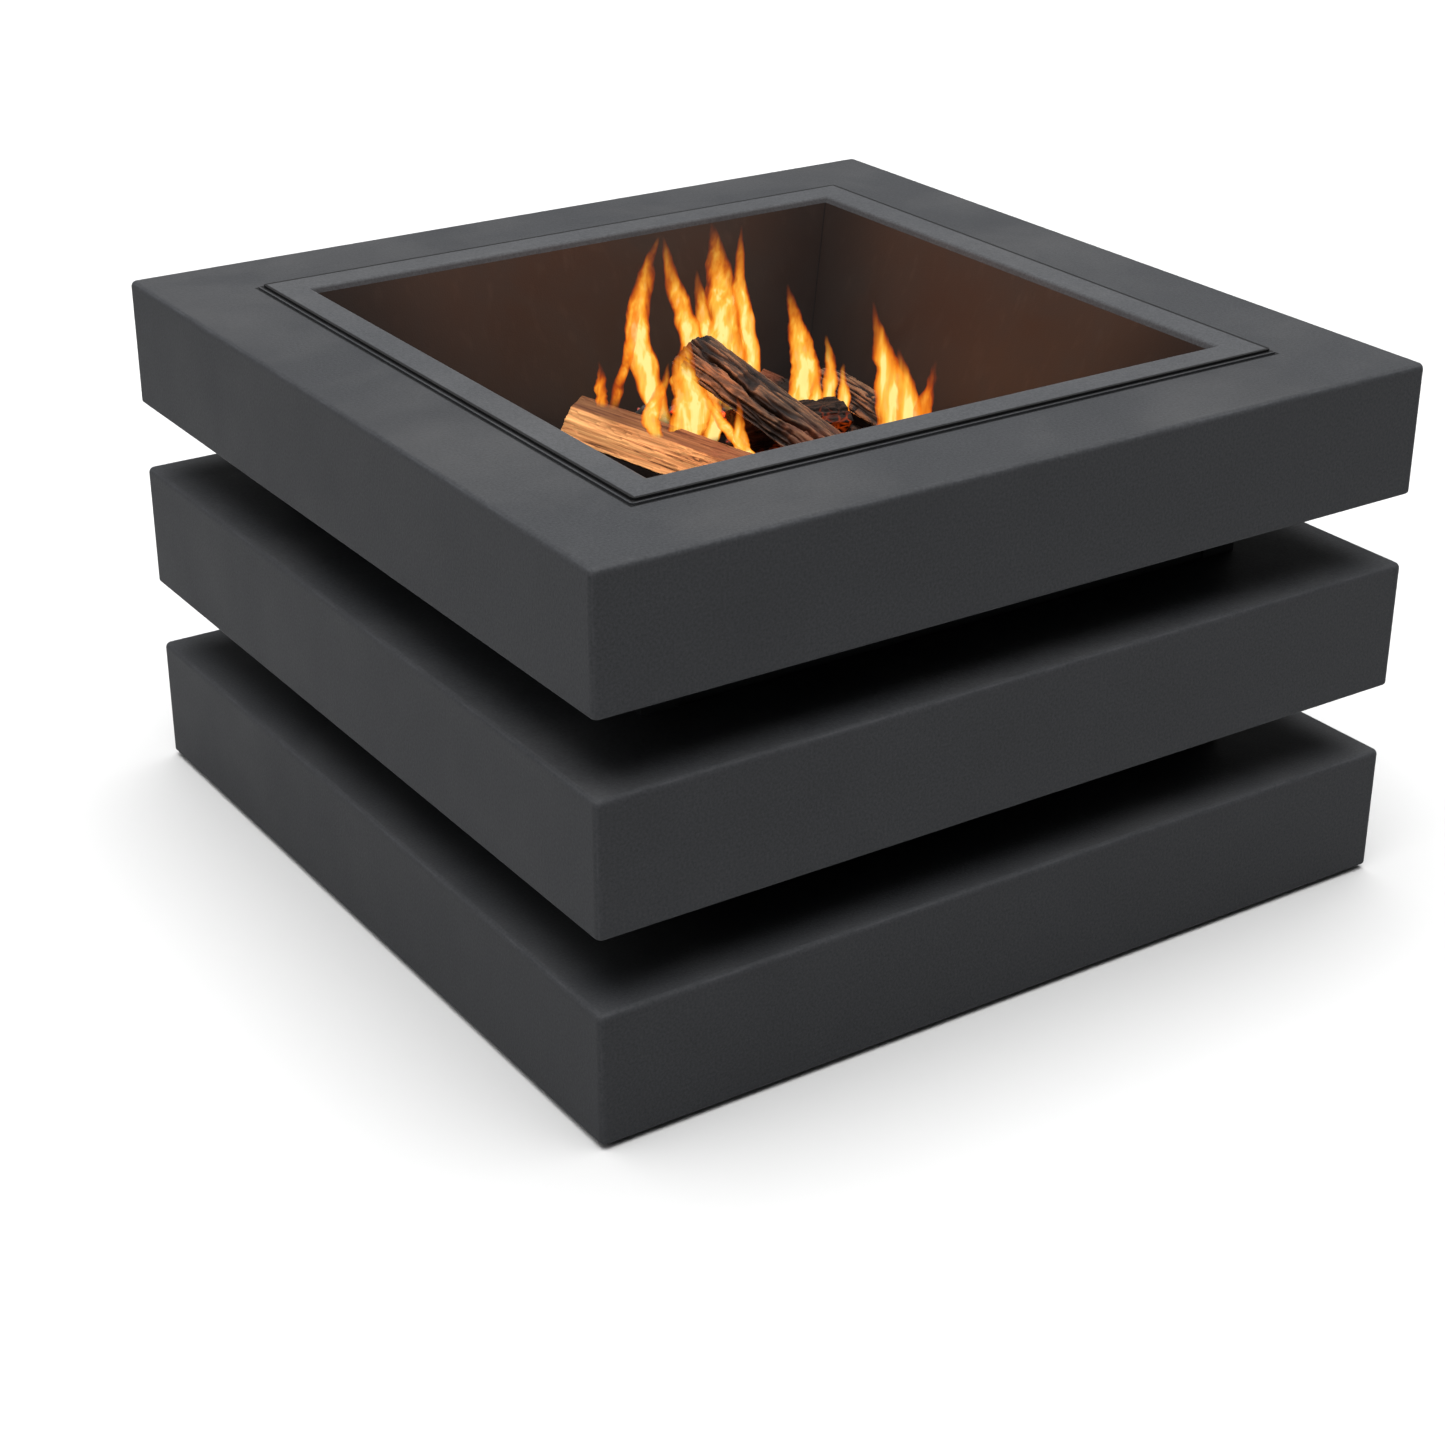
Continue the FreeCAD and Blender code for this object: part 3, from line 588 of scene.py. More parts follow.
@dataclass(frozen=True)
class WoodAsh(Finish):
    """Wood ash: pale grey powder with charcoal crumbs and a few live sparks."""

    def surface(self, tree: Tree) -> Socket:
        """Return the ash's shader."""
        place = add(tree, "TexCoord", out="Object")
        soft = add(tree, "TexNoise", {"Vector": place, "Scale": per(30), "Detail": 8.0})
        tone = add(tree, "ValToRGB", {"Fac": soft},
                   stops=((0.35, "#3c3733"), (0.5, "#6e6862"), (0.68, "#989189")))
        crumbs = add(tree, "TexNoise", {"Vector": place, "Scale": per(3), "Detail": 4.0})
        black = add(tree, "MapRange", {"Value": crumbs, "From Min": 0.56, "From Max": 0.62})
        tone = add(tree, "MixRGB", {"Fac": black, "Color1": tone, "Color2": linear("#171412")})
        spark = add(tree, "MapRange", {"Value": crumbs, "From Min": 0.66, "From Max": 0.72, "To Max": 6.0})
        skin = add(tree, "Bump", {"Height": crumbs, "Strength": 0.8, "Distance": 1.0 * MM})
        return add(tree, "BsdfPrincipled", {
            "Base Color": tone, "Roughness": 0.95, "Normal": skin,
            "Emission Color": linear("#ff5a10"), "Emission Strength": spark})


@dataclass(frozen=True)
class BurningGas(Finish):
    """Burning wood gas: clear at its edges and tip, orange inside that and yellow-white in the middle.

    It holds no dark of its own, so it is only glow and gaps: fine threads run up it, drawn coarser than
    real ones so that they show.
    """

    strength: float = 1.25

    def surface(self, tree: Tree) -> Socket:
        """Return the flame's shader."""
        place = add(tree, "TexCoord", out="Object")
        middle = add(tree, "Attribute", out="Fac", attribute_name="middle")
        rise = add(tree, "Attribute", out="Fac", attribute_name="rise")
        drawn = add(tree, "Mapping", {"Vector": place, "Scale": (1.0, 1.0, 0.09)})
        threads = add(tree, "TexNoise", {"Vector": drawn, "Scale": per(7), "Detail": 2.0,
                                         "Distortion": 0.2})
        wisp = add(tree, "MapRange", {"Value": threads, "From Min": 0.3, "From Max": 0.7, "To Min": -0.24,
                                      "To Max": 0.24})
        cool = add(tree, "MapRange", {"Value": rise, "From Min": 0.45, "From Max": 1.0, "To Max": 0.55})
        heat = add(tree, "Math", {0: middle, 1: cool}, operation="SUBTRACT")
        heat = add(tree, "Math", {0: heat, 1: wisp}, operation="ADD")
        glow = add(tree, "ValToRGB", {"Fac": heat},
                   stops=((0.0, "#c83204"), (0.35, "#f05c0a"), (0.62, "#fb8e20"), (0.86, "#ffba44"),
                          (1.0, "#ffde88")))
        body = add(tree, "MapRange", {"Value": heat, "From Min": 0.0, "From Max": 1.0, "To Max": 0.9},
                   interpolation_type="SMOOTHSTEP")
        tip = add(tree, "MapRange", {"Value": rise, "From Min": 1.0, "From Max": 0.6})
        root = add(tree, "MapRange", {"Value": rise, "From Max": 0.12})
        cover = add(tree, "Math", {0: tip, 1: root}, operation="MULTIPLY")
        cover = add(tree, "Math", {0: cover, 1: body}, operation="MULTIPLY")
        power = add(tree, "MapRange", {"Value": heat, "To Min": 0.9, "To Max": self.strength})
        clear = add(tree, "BsdfTransparent")
        light = add(tree, "Emission", {"Color": glow, "Strength": power})
        return add(tree, "MixShader", {0: cover, 1: clear, 2: light})


@dataclass(frozen=True)
class StudioFloor(Finish):
    """Pale painted studio floor: matt and nearly even."""

    def surface(self, tree: Tree) -> Socket:
        """Return the floor's shader."""
        place = add(tree, "TexCoord", out="Object")
        soft = add(tree, "TexNoise", {"Vector": place, "Scale": per(900), "Detail": 2.0})
        tone = add(tree, "MixRGB", {"Fac": soft, "Color1": linear("#aaaaaa"), "Color2": linear("#acacac")})
        return add(tree, "BsdfPrincipled", {
            "Base Color": tone, "Roughness": 0.9, "Specular IOR Level": 0.1})


# ------------------------------------------------------------------ metalwork
class Slot(Enum):
    """Material slots of the record that the metalwork uses."""

    CHARCOAL = "charcoal_powder_coat"
    BLACK = "black_powder_coat"
    STOVE = "stove_paint"
    SCALED = "blackened_steel"
    GALVANISED = "galvanised_sheet"
    ZINC = "zinc_plated_steel"
    RUBBER = "foot_rubber"


@dataclass
class Metalwork:
    """The CAD pieces that keep their own shape: each gets the finish of its slot."""

    nodes: dict[str, bpy.types.Object]
    record: dict[str, Any]
    trays: tuple[str, ...] = ("top_tray", "middle_tray", "bottom_tray")
    plain: dict[Slot, Finish] = field(init=False)

    def __post_init__(self) -> None:
        """Make the finishes whose places come from the frame."""
        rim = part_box("bowl_flange")[1].z
        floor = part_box("bowl_floor")[1].z
        self.plain = {
            Slot.CHARCOAL: PowderCoat("powder_coated_steel_sprayed_charcoal"),
            Slot.BLACK: PowderCoat("powder_coated_steel_sprayed_black", tone="#1d1e20", pale="#242527",
                                   dust=0.0),
            Slot.STOVE: HeatPaint("stove_painted_steel_browned", rim=rim, floor=floor),
            Slot.SCALED: ScaledSteel("hot_rolled_steel_scaled"),
            Slot.GALVANISED: GalvanisedSheet("galvanised_steel_hot_dipped"),
            Slot.ZINC: ZincPlate("zinc_plated_steel_turned"),
            Slot.RUBBER: MouldedRubber("epdm_rubber_moulded"),
        }

    def finish_of(self, node: str, slot: str) -> Finish:
        """Return the finish of a node: a tray's coat is worn along its own edges."""
        if node in self.trays:
            low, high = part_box(node)
            # The top tray and the seat frame get a dark line of grime and painted shadow where the next part
            # sits on them.
            joints = (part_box("seat_frame")[1].x,) if node == "top_tray" else ()
            return PowderCoat("powder_coated_steel_sprayed_" + node, edges=(high.x, low.z, high.z),
                              joints=joints)
        if node == "seat_frame":
            return PowderCoat("powder_coated_steel_sprayed_" + node, joints=(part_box("bowl_flange")[1].x,))
        if node == "bowl_flange":
            # The flange's own edge gets a dark line of handling grime and painted shadow.
            return PowderCoat("powder_coated_steel_heat_faded", tone="#353638", pale="#393a3c",
                              rim=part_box(node)[1].x)
        return self.plain[Slot(slot)]

    def dress(self) -> None:
        """Give every node of the metalwork its finish."""
        slots = {part["node"]: part["material_slot"] for part in self.record["subparts"]}
        known = {slot.value for slot in Slot}
        for name, node in self.nodes.items():
            if slots[name] in known:
                node.data.materials.clear()
                self.finish_of(name, slots[name]).dress(node)
                LOG.info("dressed %s", name)


# ------------------------------------------------------------------ logs
class Face(Enum):
    """What a stretch of a log's surface is."""

    SPLIT = 0
    BARK = 1
    END = 2


@dataclass
class Blank:
    """The plain shape of a log, read from its CAD solid: axes, length and section outline."""

    node: bpy.types.Object
    # Tilt in degrees and distance from the middle of a plane that knocks off the log's ridge, or none.
    ridge: tuple[float, float] | None = None
    rounding: float = 2.0 * MM
    around: int = 168

    def __post_init__(self) -> None:
        """Find the log's axes, length and outline."""
        points = np.array([v.co for v in self.node.data.vertices], float)
        self.centre = (points.min(0) + points.max(0)) / 2
        lengths, axes = np.linalg.eigh(np.cov((points - points.mean(0)).T))
        along = axes[:, np.argmax(lengths)]
        if along[1] > 0:
            along = -along
        side = np.cross((0.0, 0.0, 1.0), along)
        side /= np.linalg.norm(side)
        self.axes = np.stack([along, side, np.cross(along, side)])
        local = (points - self.centre) @ self.axes.T
        middle = (local[:, 0].min() + local[:, 0].max()) / 2
        self.centre = self.centre + self.axes[0] * middle
        local[:, 0] -= middle
        self.length = local[:, 0].max() - local[:, 0].min()
        self.outline, self.kinds = self.section(local[local[:, 0] < 0][:, 1:])

    def section(self, points: np.ndarray) -> tuple[np.ndarray, list[Face]]:
        """Return the outline at even steps, with what each step is.

        Args:
            points: corners of one end of the solid, in the log's own side and up axes.

        Returns:
            Outline points anticlockwise, and split face or bark for each.
        """
        corners = np.unique(np.round(points, 6), axis=0)
        middle = corners.mean(0)
        corners = corners[np.argsort(np.arctan2(*(corners - middle).T[::-1]))]
        steps = np.roll(corners, -1, axis=0) - corners
        sizes = np.linalg.norm(steps, axis=1)
        ends = np.concatenate([[0.0], np.cumsum(sizes)])
        places, kinds = [], []
        for number in range(self.around):
            run = ends[-1] * number / self.around
            edge = int(np.searchsorted(ends, run, side="right")) - 1
            places.append(corners[edge] + steps[edge] * (run - ends[edge]) / sizes[edge])
            kinds.append(Face.SPLIT if sizes[edge] > 0.12 * ends[-1] else Face.BARK)
        outline = np.array(places)
        if self.ridge is not None:
            tilt = math.radians(self.ridge[0])
            facing = np.array((-math.sin(tilt), math.cos(tilt)))
            past = np.maximum(0.0, outline @ facing - self.ridge[1])
            outline -= past[:, None] * facing
        reach = max(1, round(self.rounding / (ends[-1] / self.around)))
        soft = sum(np.roll(outline, shift, axis=0) for shift in range(-reach, reach + 1))
        self.perimeter = ends[-1]
        return soft / (2 * reach + 1), kinds

    def matrix(self) -> Matrix:
        """Return the log's place: its own X along its length."""
        turn = Matrix([list(row) for row in self.axes]).transposed().to_4x4()
        return Matrix.Translation(Vector(self.centre)) @ turn


@dataclass
class SplitLog:
    """One piece of firewood: torn split faces, furrowed bark and sawn ends.

    Its section and place come from the CAD solid, and all roughness cuts inwards, so that it stays in
    the space that the solid holds.
    """

    node: str
    body: str
    slot: str
    seed: float
    char: tuple[float, float] = (0.6, 1.0)
    bark_depth: float = 4.0 * MM
    split_depth: float = 1.8 * MM
    crack: float = 0.0
    # Middle of the drying crack and half its width, as shares of the way round the log.
    crack_place: float = 0.93
    crack_half: float = 0.016
    nick: float = 1.6 * MM
    skin: float = 0.2 * MM
    ridge: tuple[float, float] | None = None
    along: int = 170
    end_rings: int = 12
    glow: float = 3.0
    plate: str = "#34281f"

    def bark_cut(self, x: float, u: float) -> float:
        """Return how far the bark is cut in at x along and u around, as a share of its depth."""
        drift = 0.004 * fibre(x / 0.05, 0.0, self.seed + 9.0, 2)
        plates = fibre(x / 0.085 + self.seed, (u + drift) / 0.0078, self.seed, 2)
        furrow = 1.0 - min(1.0, abs(plates) * 3.4)
        flakes = fibre(x / 0.016, u / 0.0026 + self.seed, 3.1, 3)
        cross = fibre(x / 0.012 + 7.0, u / 0.024, self.seed + 2.0, 2)
        split_across = max(0.0, cross - 0.34) * 1.4
        return min(1.0, max(0.0, 0.12 + 0.75 * furrow ** 1.6 + 0.22 * flakes + split_across))

    def split_cut(self, x: float, u: float) -> float:
        """Return how far a split face is torn in at x along and u around, as a share of its depth."""
        broad = fibre(x / 0.16 + self.seed, u / 0.011, self.seed + 5.0, 2)
        steps = (broad * 4.0 - math.floor(broad * 4.0)) * 0.35
        threads = fibre(x / 0.07, u / 0.0021, self.seed, 3)
        return min(1.0, max(0.0, 0.35 + 0.35 * broad + steps + 0.22 * threads))

    def crack_cut(self, x: float, share: float, length: float) -> float:
        """Return the depth of the long drying crack, which wanders down the middle of the bark."""
        wander = self.crack_place + 0.035 * math.sin(x * 31 + self.seed)
        wander += 0.02 * fibre(x / 0.02, 0.0, self.seed)
        gap = abs(share - wander) / self.crack_half
        taper = min(1.0, (x / length + 0.5) * 5.0)
        return self.crack * taper * max(0.0, 1.0 - gap) ** 0.7

    def mesh(self, blank: Blank) -> tuple[list, list, list[int], list[float], list[float]]:
        """Return points, faces, the kind of each face, and the relief and upward lean of each point."""
        outline = blank.outline
        tangent = np.roll(outline, -1, axis=0) - np.roll(outline, 1, axis=0)
        normal = np.stack([tangent[:, 1], -tangent[:, 0]], axis=1)
        normal /= np.linalg.norm(normal, axis=1)[:, None]
        middle = outline.mean(0)
        if np.mean(np.sum(normal * (outline - middle), axis=1)) < 0:
            normal = -normal
        around = len(outline)
        lean = normal @ blank.axes[1:, 2]
        points, relief = [], []
        for i in range(self.along + 1):
            x = blank.length * (i / self.along - 0.5)
            nick = self.nick * max(0.0, 1.0 - min(i, self.along - i) / 1.5)
            for j in range(around):
                u = blank.perimeter * j / around
                if blank.kinds[j] is Face.BARK:
                    share = self.bark_cut(x, u)
                    cut = share * self.bark_depth
                else:
                    share = self.split_cut(x, u)
                    cut = share * self.split_depth
                if self.crack > 0:
                    extra = self.crack_cut(x, j / around, blank.length)
                    cut += extra
                    share = min(1.0, share + extra / self.bark_depth)
                y, z = outline[j] - normal[j] * (cut + nick + self.skin)
                points.append((x, y, z))
                relief.append(1.0 - share)
        faces, kinds = [], []
        for i in range(self.along):
            for j in range(around):
                a, b = i * around + j, i * around + (j + 1) % around
                faces.append((a, b, b + around, a + around))
                kinds.append(blank.kinds[j].value)
        for row, sign in ((0, -1.0), (self.along, 1.0)):
            self.close_end(points, faces, kinds, relief, row * around, around, sign)
        upward = [float(lean[n % around]) if n < (self.along + 1) * around else 0.0
                  for n in range(len(points))]
        return points, faces, kinds, relief, upward

    def close_end(self, points: list, faces: list, kinds: list[int], relief: list[float],
                  start: int, around: int, sign: float) -> None:
        """Close one end with rings of rough sawn wood.

        Args:
            points: all points so far; the end's are added.
            faces: all faces so far; the end's are added.
            kinds: kind of each face.
            relief: relief of each point.
            start: number of the first point of the outline at this end.
            around: points in the outline.
            sign: 1 at the far end, -1 at the near end.
        """
        rim = np.array(points[start:start + around])
        middle = rim.mean(0)
        previous = start
        for ring in range(1, self.end_rings):
            share = 1.0 - ring / self.end_rings
            first = len(points)
            for place in middle + (rim - middle) * share:
                rough = fibre(place[1] / 0.006, place[2] / 0.02, self.seed + sign, 3)
                points.append((place[0] - sign * (0.9 * MM + 0.8 * MM * rough), place[1], place[2]))
                relief.append(0.6 + 0.4 * rough)
            for j in range(around):
                k = (j + 1) % around
                faces.append((previous + j, previous + k, first + k, first + j))
                kinds.append(Face.END.value)
            previous = first
        points.append((middle[0] - sign * 1.0 * MM, middle[1], middle[2]))
        relief.append(0.6)
        for j in range(around):
            faces.append((previous + j, previous + (j + 1) % around, len(points) - 1))
            kinds.append(Face.END.value)

    def build(self) -> bpy.types.Object:
        """Make the log, dress it and let it stand for its CAD solid."""
        blank = Blank(frame["nodes"][self.node], self.ridge)
        points, faces, kinds, relief, upward = self.mesh(blank)
        piece = mesh_object("firewood_" + self.node, points, faces)
        piece.data.polygons.foreach_set("material_index", kinds)
        for name, values in (("relief", relief), ("upward", upward)):
            piece.data.attributes.new(name, "FLOAT", "POINT").data.foreach_set("value", values)
        outward(piece)
        piece.matrix_world = blank.matrix()
        common = dict(length=blank.length, char_start=self.char[0], char_end=self.char[1], glow=self.glow)
        SplitFace("spruce_split_" + self.node, **common).dress(piece, 0)
        Bark("pine_bark_weathered_" + self.node, plate=self.plate, **common).dress(piece, 1)
        heart = tuple(blank.outline[int(np.argmax(np.linalg.norm(blank.outline, axis=1)))])
        EndGrain("spruce_sawn_end_" + self.node, heart=heart, **common).dress(piece, 2)
        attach(piece, self.body)
        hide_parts(self.node)
        LOG.info("built %s, %.0f mm long", piece.name, blank.length / MM)
        return piece


# ------------------------------------------------------------------ embers and ash
@dataclass
class Embers:
    """Charcoal lumps that lie on the grate between the logs, clear of them."""

    seed: int = 7
    tries: int = 420
    spacing: float = 0.8
    clearance: float = 1.2
    reach: float = 0.115
    scatter: float = 0.062
    middle: tuple[float, float] = (0.012, 0.02)
    bedding: float = 0.62
    # How far the left log's axis turns sideways for each metre along it.
    slant: float = 0.21
    size: tuple[float, float] = (8.0 * MM, 14.0 * MM)
    finish: Coal = Coal("charcoal_burning")

    def lump(self, work: bmesh.types.BMesh, place: Vector, radius: float, rng: np.random.Generator) -> None:
        """Add one broken lump of charcoal to a mesh."""
        made = bmesh.ops.create_icosphere(work, subdivisions=3, radius=radius)
        squeeze = Vector((rng.uniform(0.8, 1.25), rng.uniform(0.7, 1.1), rng.uniform(0.55, 0.8)))
        turn = Matrix.Rotation(rng.uniform(0, math.pi), 4, "Z")
        start = Vector(rng.uniform(0, 50, 3))
        for vertex in made["verts"]:
            way = vertex.co.normalized()
            facet = noise.cell(way * 2.3 + start) * 0.16
            rough = noise.fractal(way * 3.0 + start, 0.9, 2.0, 3) * 0.16
            shaped = vertex.co * (0.92 + facet + rough)
            vertex.co = place + turn @ Vector((s * q for s, q in zip(shaped, squeeze)))

    def solid(self, name: str) -> BVHTree:
        """Return the CAD solid of a log, ready to be measured from."""
        mesh = frame["nodes"][name].data
        return BVHTree.FromPolygons([v.co for v in mesh.vertices], [tuple(p.vertices) for p in mesh.polygons])

    def gap(self, tree: BVHTree, place: Vector) -> float:
        """Return how far a place is outside a solid, or less than 0 inside it."""
        nearest, normal, _, distance = tree.find_nearest(place)
        return distance if (place - nearest).dot(normal) > 0 else -distance

    def build(self) -> bpy.types.Object:
        """Scatter the lumps on the grate and let them ride on it."""
        rng = np.random.default_rng(self.seed)
        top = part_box("grate_bars")[1].z
        log = (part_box("log_left")[0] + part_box("log_left")[1]) / 2
        logs = [self.solid(name) for name in ("log_left", "log_back", "log_right", "log_small",
                                              "log_leaning")]
        lying: list[tuple[Vector, float]] = []
        work = bmesh.new()
        for _ in range(self.tries):
            radius = rng.uniform(*self.size)
            spread = np.clip(rng.normal(0.0, self.scatter, 2), -self.reach, self.reach)
            place = Vector((spread[0] + self.middle[0], spread[1] + self.middle[1],
                            top + self.bedding * radius))
            # None lies on the outer side of the left log, where the fire doesn't reach.
            if place.x - log.x < self.slant * (log.y - place.y):
                continue
            if any(self.gap(tree, place) < self.clearance * radius for tree in logs):
                continue
            if any((place - other).length < self.spacing * (radius + size) for other, size in lying):
                continue
            lying.append((place, radius))
            self.lump(work, place, radius, rng)
        mesh = bpy.data.meshes.new("ember_lumps")
        work.to_mesh(mesh)
        work.free()
        mesh.polygons.foreach_set("use_smooth", [True] * len(mesh.polygons))
        piece = bpy.data.objects.new("ember_lumps", mesh)
        bpy.context.scene.collection.objects.link(piece)
        self.finish.dress(piece)
        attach(piece, "grate")
        LOG.info("built %s with %d lumps", piece.name, len(lying))
        return piece


@dataclass
class AshBed:
    """Low uneven layer of ash on the bowl floor, clear of the grate's legs."""

    reach: float = 0.146
    cells: int = 90
    depth: float = 7.0 * MM
    finish: WoodAsh = WoodAsh("wood_ash_settled")

    def height(self, x: float, y: float) -> float:
        """Return the depth of the ash at a place, thinning to nothing at its edge."""
        edge = 1.0 - max(abs(x), abs(y)) / self.reach
        drift = 0.6 + 0.5 * fibre(x / 0.06, y / 0.06, 1.0, 4) + 0.14 * fibre(x / 0.008, y / 0.008, 4.0, 3)
        return self.depth * max(0.05, drift) * min(1.0, edge * 5.0)

    def build(self) -> bpy.types.Object:
        """Make the ash as a closed low heap that rides on the bowl."""
        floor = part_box("bowl_floor")[1].z + 0.2 * MM
        side = self.cells + 1
        points, faces = [], []
        for layer in (1, 0):
            for i in range(side):
                for j in range(side):
                    x = self.reach * (2 * i / self.cells - 1)
                    y = self.reach * (2 * j / self.cells - 1)
                    points.append((x, y, floor + layer * (0.1 * MM + self.height(x, y))))
        low = side * side
        for i in range(self.cells):
            for j in range(self.cells):
                a, b = i * side + j, (i + 1) * side + j
                faces.append((a, b, b + 1, a + 1))
                faces.append((low + a, low + a + 1, low + b + 1, low + b))
        ring = [i * side for i in range(side)] + [self.cells * side + j for j in range(1, side)]
        ring += [i * side + self.cells for i in range(self.cells - 1, -1, -1)]
        ring += list(range(self.cells - 1, 0, -1))
        for a, b in zip(ring, ring[1:] + ring[:1]):
            faces.append((a, a + low, b + low, b))
        piece = mesh_object("ash_bed", points, faces)
        outward(piece)
        self.finish.dress(piece)
        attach(piece, "bowl")
        LOG.info("built %s", piece.name)
        return piece


# ------------------------------------------------------------------ flames
@dataclass(frozen=True)
class Tongue:
    """One tongue of flame: millimetres across, back and up in the fire's own axes, and its width.

    A heat under 1 gives a thinner, redder and clearer tongue.
    """

    points: tuple[tuple[float, float, float, float], ...]
    heat: float = 1.0


@dataclass
class Flames:
    """Flames that stand on one burning log, each a closed thin lens of glowing gas."""

    name: str
    body: str
    tongues: tuple[Tongue, ...]
    seed: float
    heading: float = -33.6
    rings: int = 56
    around: int = 28
    thickness: float = 0.5
    twist: float = 22.0
    sway: float = 1.6 * MM
    swell: float = 0.22
    finish: BurningGas = BurningGas("wood_gas_burning")

    def line(self, tongue: Tongue) -> np.ndarray:
        """Return even steps along a smooth curve through a tongue's points."""
        knots = np.array(tongue.points, float) * MM
        padded = np.vstack([2 * knots[0] - knots[1], knots, 2 * knots[-1] - knots[-2]])
        steps = []
        for number in range(self.rings + 1):
            run = (len(knots) - 1) * number / self.rings
            k = min(int(run), len(knots) - 2)
            t = run - k
            a, b, c, d = padded[k:k + 4]
            steps.append(0.5 * (2 * b + (c - a) * t + (2 * a - 5 * b + 4 * c - d) * t * t
                                + (3 * b - a - 3 * c + d) * t ** 3))
        return np.array(steps)

    def build(self) -> bpy.types.Object:
        """Make all the tongues as one piece that rides on the log's body."""
        points, faces, middle, rise = [], [], [], []
        turn = Matrix.Rotation(math.radians(self.heading), 3, "Z")
        for order, tongue in enumerate(self.tongues):
            twist = math.radians(self.twist) * math.sin(self.seed + 2.3 * order)
            first = len(points)
            for number, (across, back, up, width) in enumerate(self.line(tongue)):
                share = number / self.rings
                cell = share * 5 + order * 3.7
                sway = self.sway * fibre(cell, self.seed, 0.0, 2)
                swell = 1.0 + self.swell * fibre(cell * 1.6, self.seed, 4.0, 3)
                half = max(0.1 * MM, width / 2 * swell)
                for j in range(self.around):
                    angle = 2 * math.pi * j / self.around
                    wide = half * math.cos(angle)
                    deep = half * self.thickness * math.sin(angle)
                    x = across + sway + wide * math.cos(twist) - deep * math.sin(twist)
                    y = back + wide * math.sin(twist) + deep * math.cos(twist)
                    points.append(turn @ Vector((x, y, up)))
                    middle.append(tongue.heat * abs(math.sin(angle)))
                    rise.append(share)
            self.skin(points, faces, middle, rise, first)
        piece = mesh_object(self.name, points, faces)
        for name, values in (("middle", middle), ("rise", rise)):
            piece.data.attributes.new(name, "FLOAT", "POINT").data.foreach_set("value", values)
        outward(piece)
        self.finish.dress(piece)
        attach(piece, self.body)
        LOG.info("built %s with %d tongues", self.name, len(self.tongues))
        return piece

    def skin(self, points: list, faces: list, middle: list[float], rise: list[float], first: int) -> None:
        """Join the rings of one tongue and close its root and its tip.

        Args:
            points: all points so far; two are added.
            faces: all faces so far; the tongue's are added.
            middle: how near the middle of the tongue each point is.
            rise: how far up the tongue each point is.
            first: number of the tongue's first point.
        """
        last = first + self.rings * self.around
        ends = []
        for start, share in ((first, 0.0), (last, 1.0)):
            ends.append(len(points))
            points.append(sum(points[start:start + self.around], Vector()) / self.around)
            middle.append(1.0)
            rise.append(share)
        for j in range(self.around):
            k = (j + 1) % self.around
            for ring in range(self.rings):
                base = first + ring * self.around
                faces.append((base + j, base + k, base + self.around + k, base + self.around + j))
            faces.append((first + k, first + j, ends[0]))
            faces.append((last + j, last + k, ends[1]))


LEANING_LOG_TONGUES = (
    Tongue(((-52, 92, 300, 16), (-42, 98, 338, 22), (-48, 112, 372, 20), (-60, 128, 404, 15),
            (-68, 142, 437, 3))),
    Tongue(((-10, 122, 298, 24), (-16, 132, 335, 34), (-19, 146, 372, 30),
            (-24, 164, 408, 22), (-29, 182, 438, 4))),
    Tongue(((-26, 126, 300, 16), (-30, 138, 340, 20), (-36, 152, 372, 15), (-42, 164, 404, 3))),
    Tongue(((6, 124, 310, 12), (1, 140, 352, 15), (-7, 158, 396, 12), (-5, 178, 437, 3))),
    Tongue(((34, 88, 298, 22), (46, 104, 335, 25), (39, 118, 370, 17), (31, 132, 402, 3))),
    Tongue(((58, 96, 298, 10), (66, 104, 332, 13), (62, 112, 366, 3))),
    Tongue(((54, 60, 306, 9), (53, 62, 330, 11), (52, 66, 356, 3))),
    Tongue(((74, 66, 304, 9), (75, 70, 328, 11), (74, 78, 354, 3))),
)
BED_LOG_TONGUES = (
    Tongue(((-66, 84, 300, 16), (-80, 94, 338, 22), (-88, 106, 374, 20), (-82, 122, 408, 16),
            (-71, 140, 438, 3))),
    Tongue(((-50, 10, 310, 30), (-44, 14, 340, 32), (-50, 24, 368, 18), (-46, 34, 396, 3))),
    Tongue(((-113, 20, 338, 10), (-114, 26, 354, 10), (-114, 32, 372, 3)), heat=0.7),
    Tongue(((-105, 20, 336, 10), (-96, 44, 364, 9), (-87, 70, 398, 8), (-86, 92, 430, 3)), heat=0.6),
    Tongue(((-69, -54, 340, 9), (-74, -52, 354, 15), (-67, -42, 370, 10), (-60, -30, 390, 3))),
    Tongue(((-3, -42, 308, 16), (-6, -34, 330, 13), (-10, -24, 362, 3))),
    Tongue(((8, -48, 314, 9), (-16, -26, 336, 12), (-38, -4, 362, 3))),
    Tongue(((112, 18, 298, 28), (112, 26, 345, 30), (102, 30, 382, 17), (94, 35, 418, 3))),
    Tongue(((130, 12, 298, 18), (122, 18, 345, 20), (113, 20, 386, 3))),
    Tongue(((-30, 40, 302, 14), (-26, 44, 326, 14), (-30, 50, 352, 3))),
    Tongue(((130, 4, 300, 12), (133, 4, 340, 13), (139, 10, 360, 9), (141, 15, 378, 3)), heat=0.6),
)


# ------------------------------------------------------------------ studio
@dataclass(frozen=True)
class SoftBox:
    """A soft light far off: where it is, how far it is even and where it ends, in degrees, and strength."""

    towards: tuple[float, float, float]
    core: float
    edge: float
    strength: float


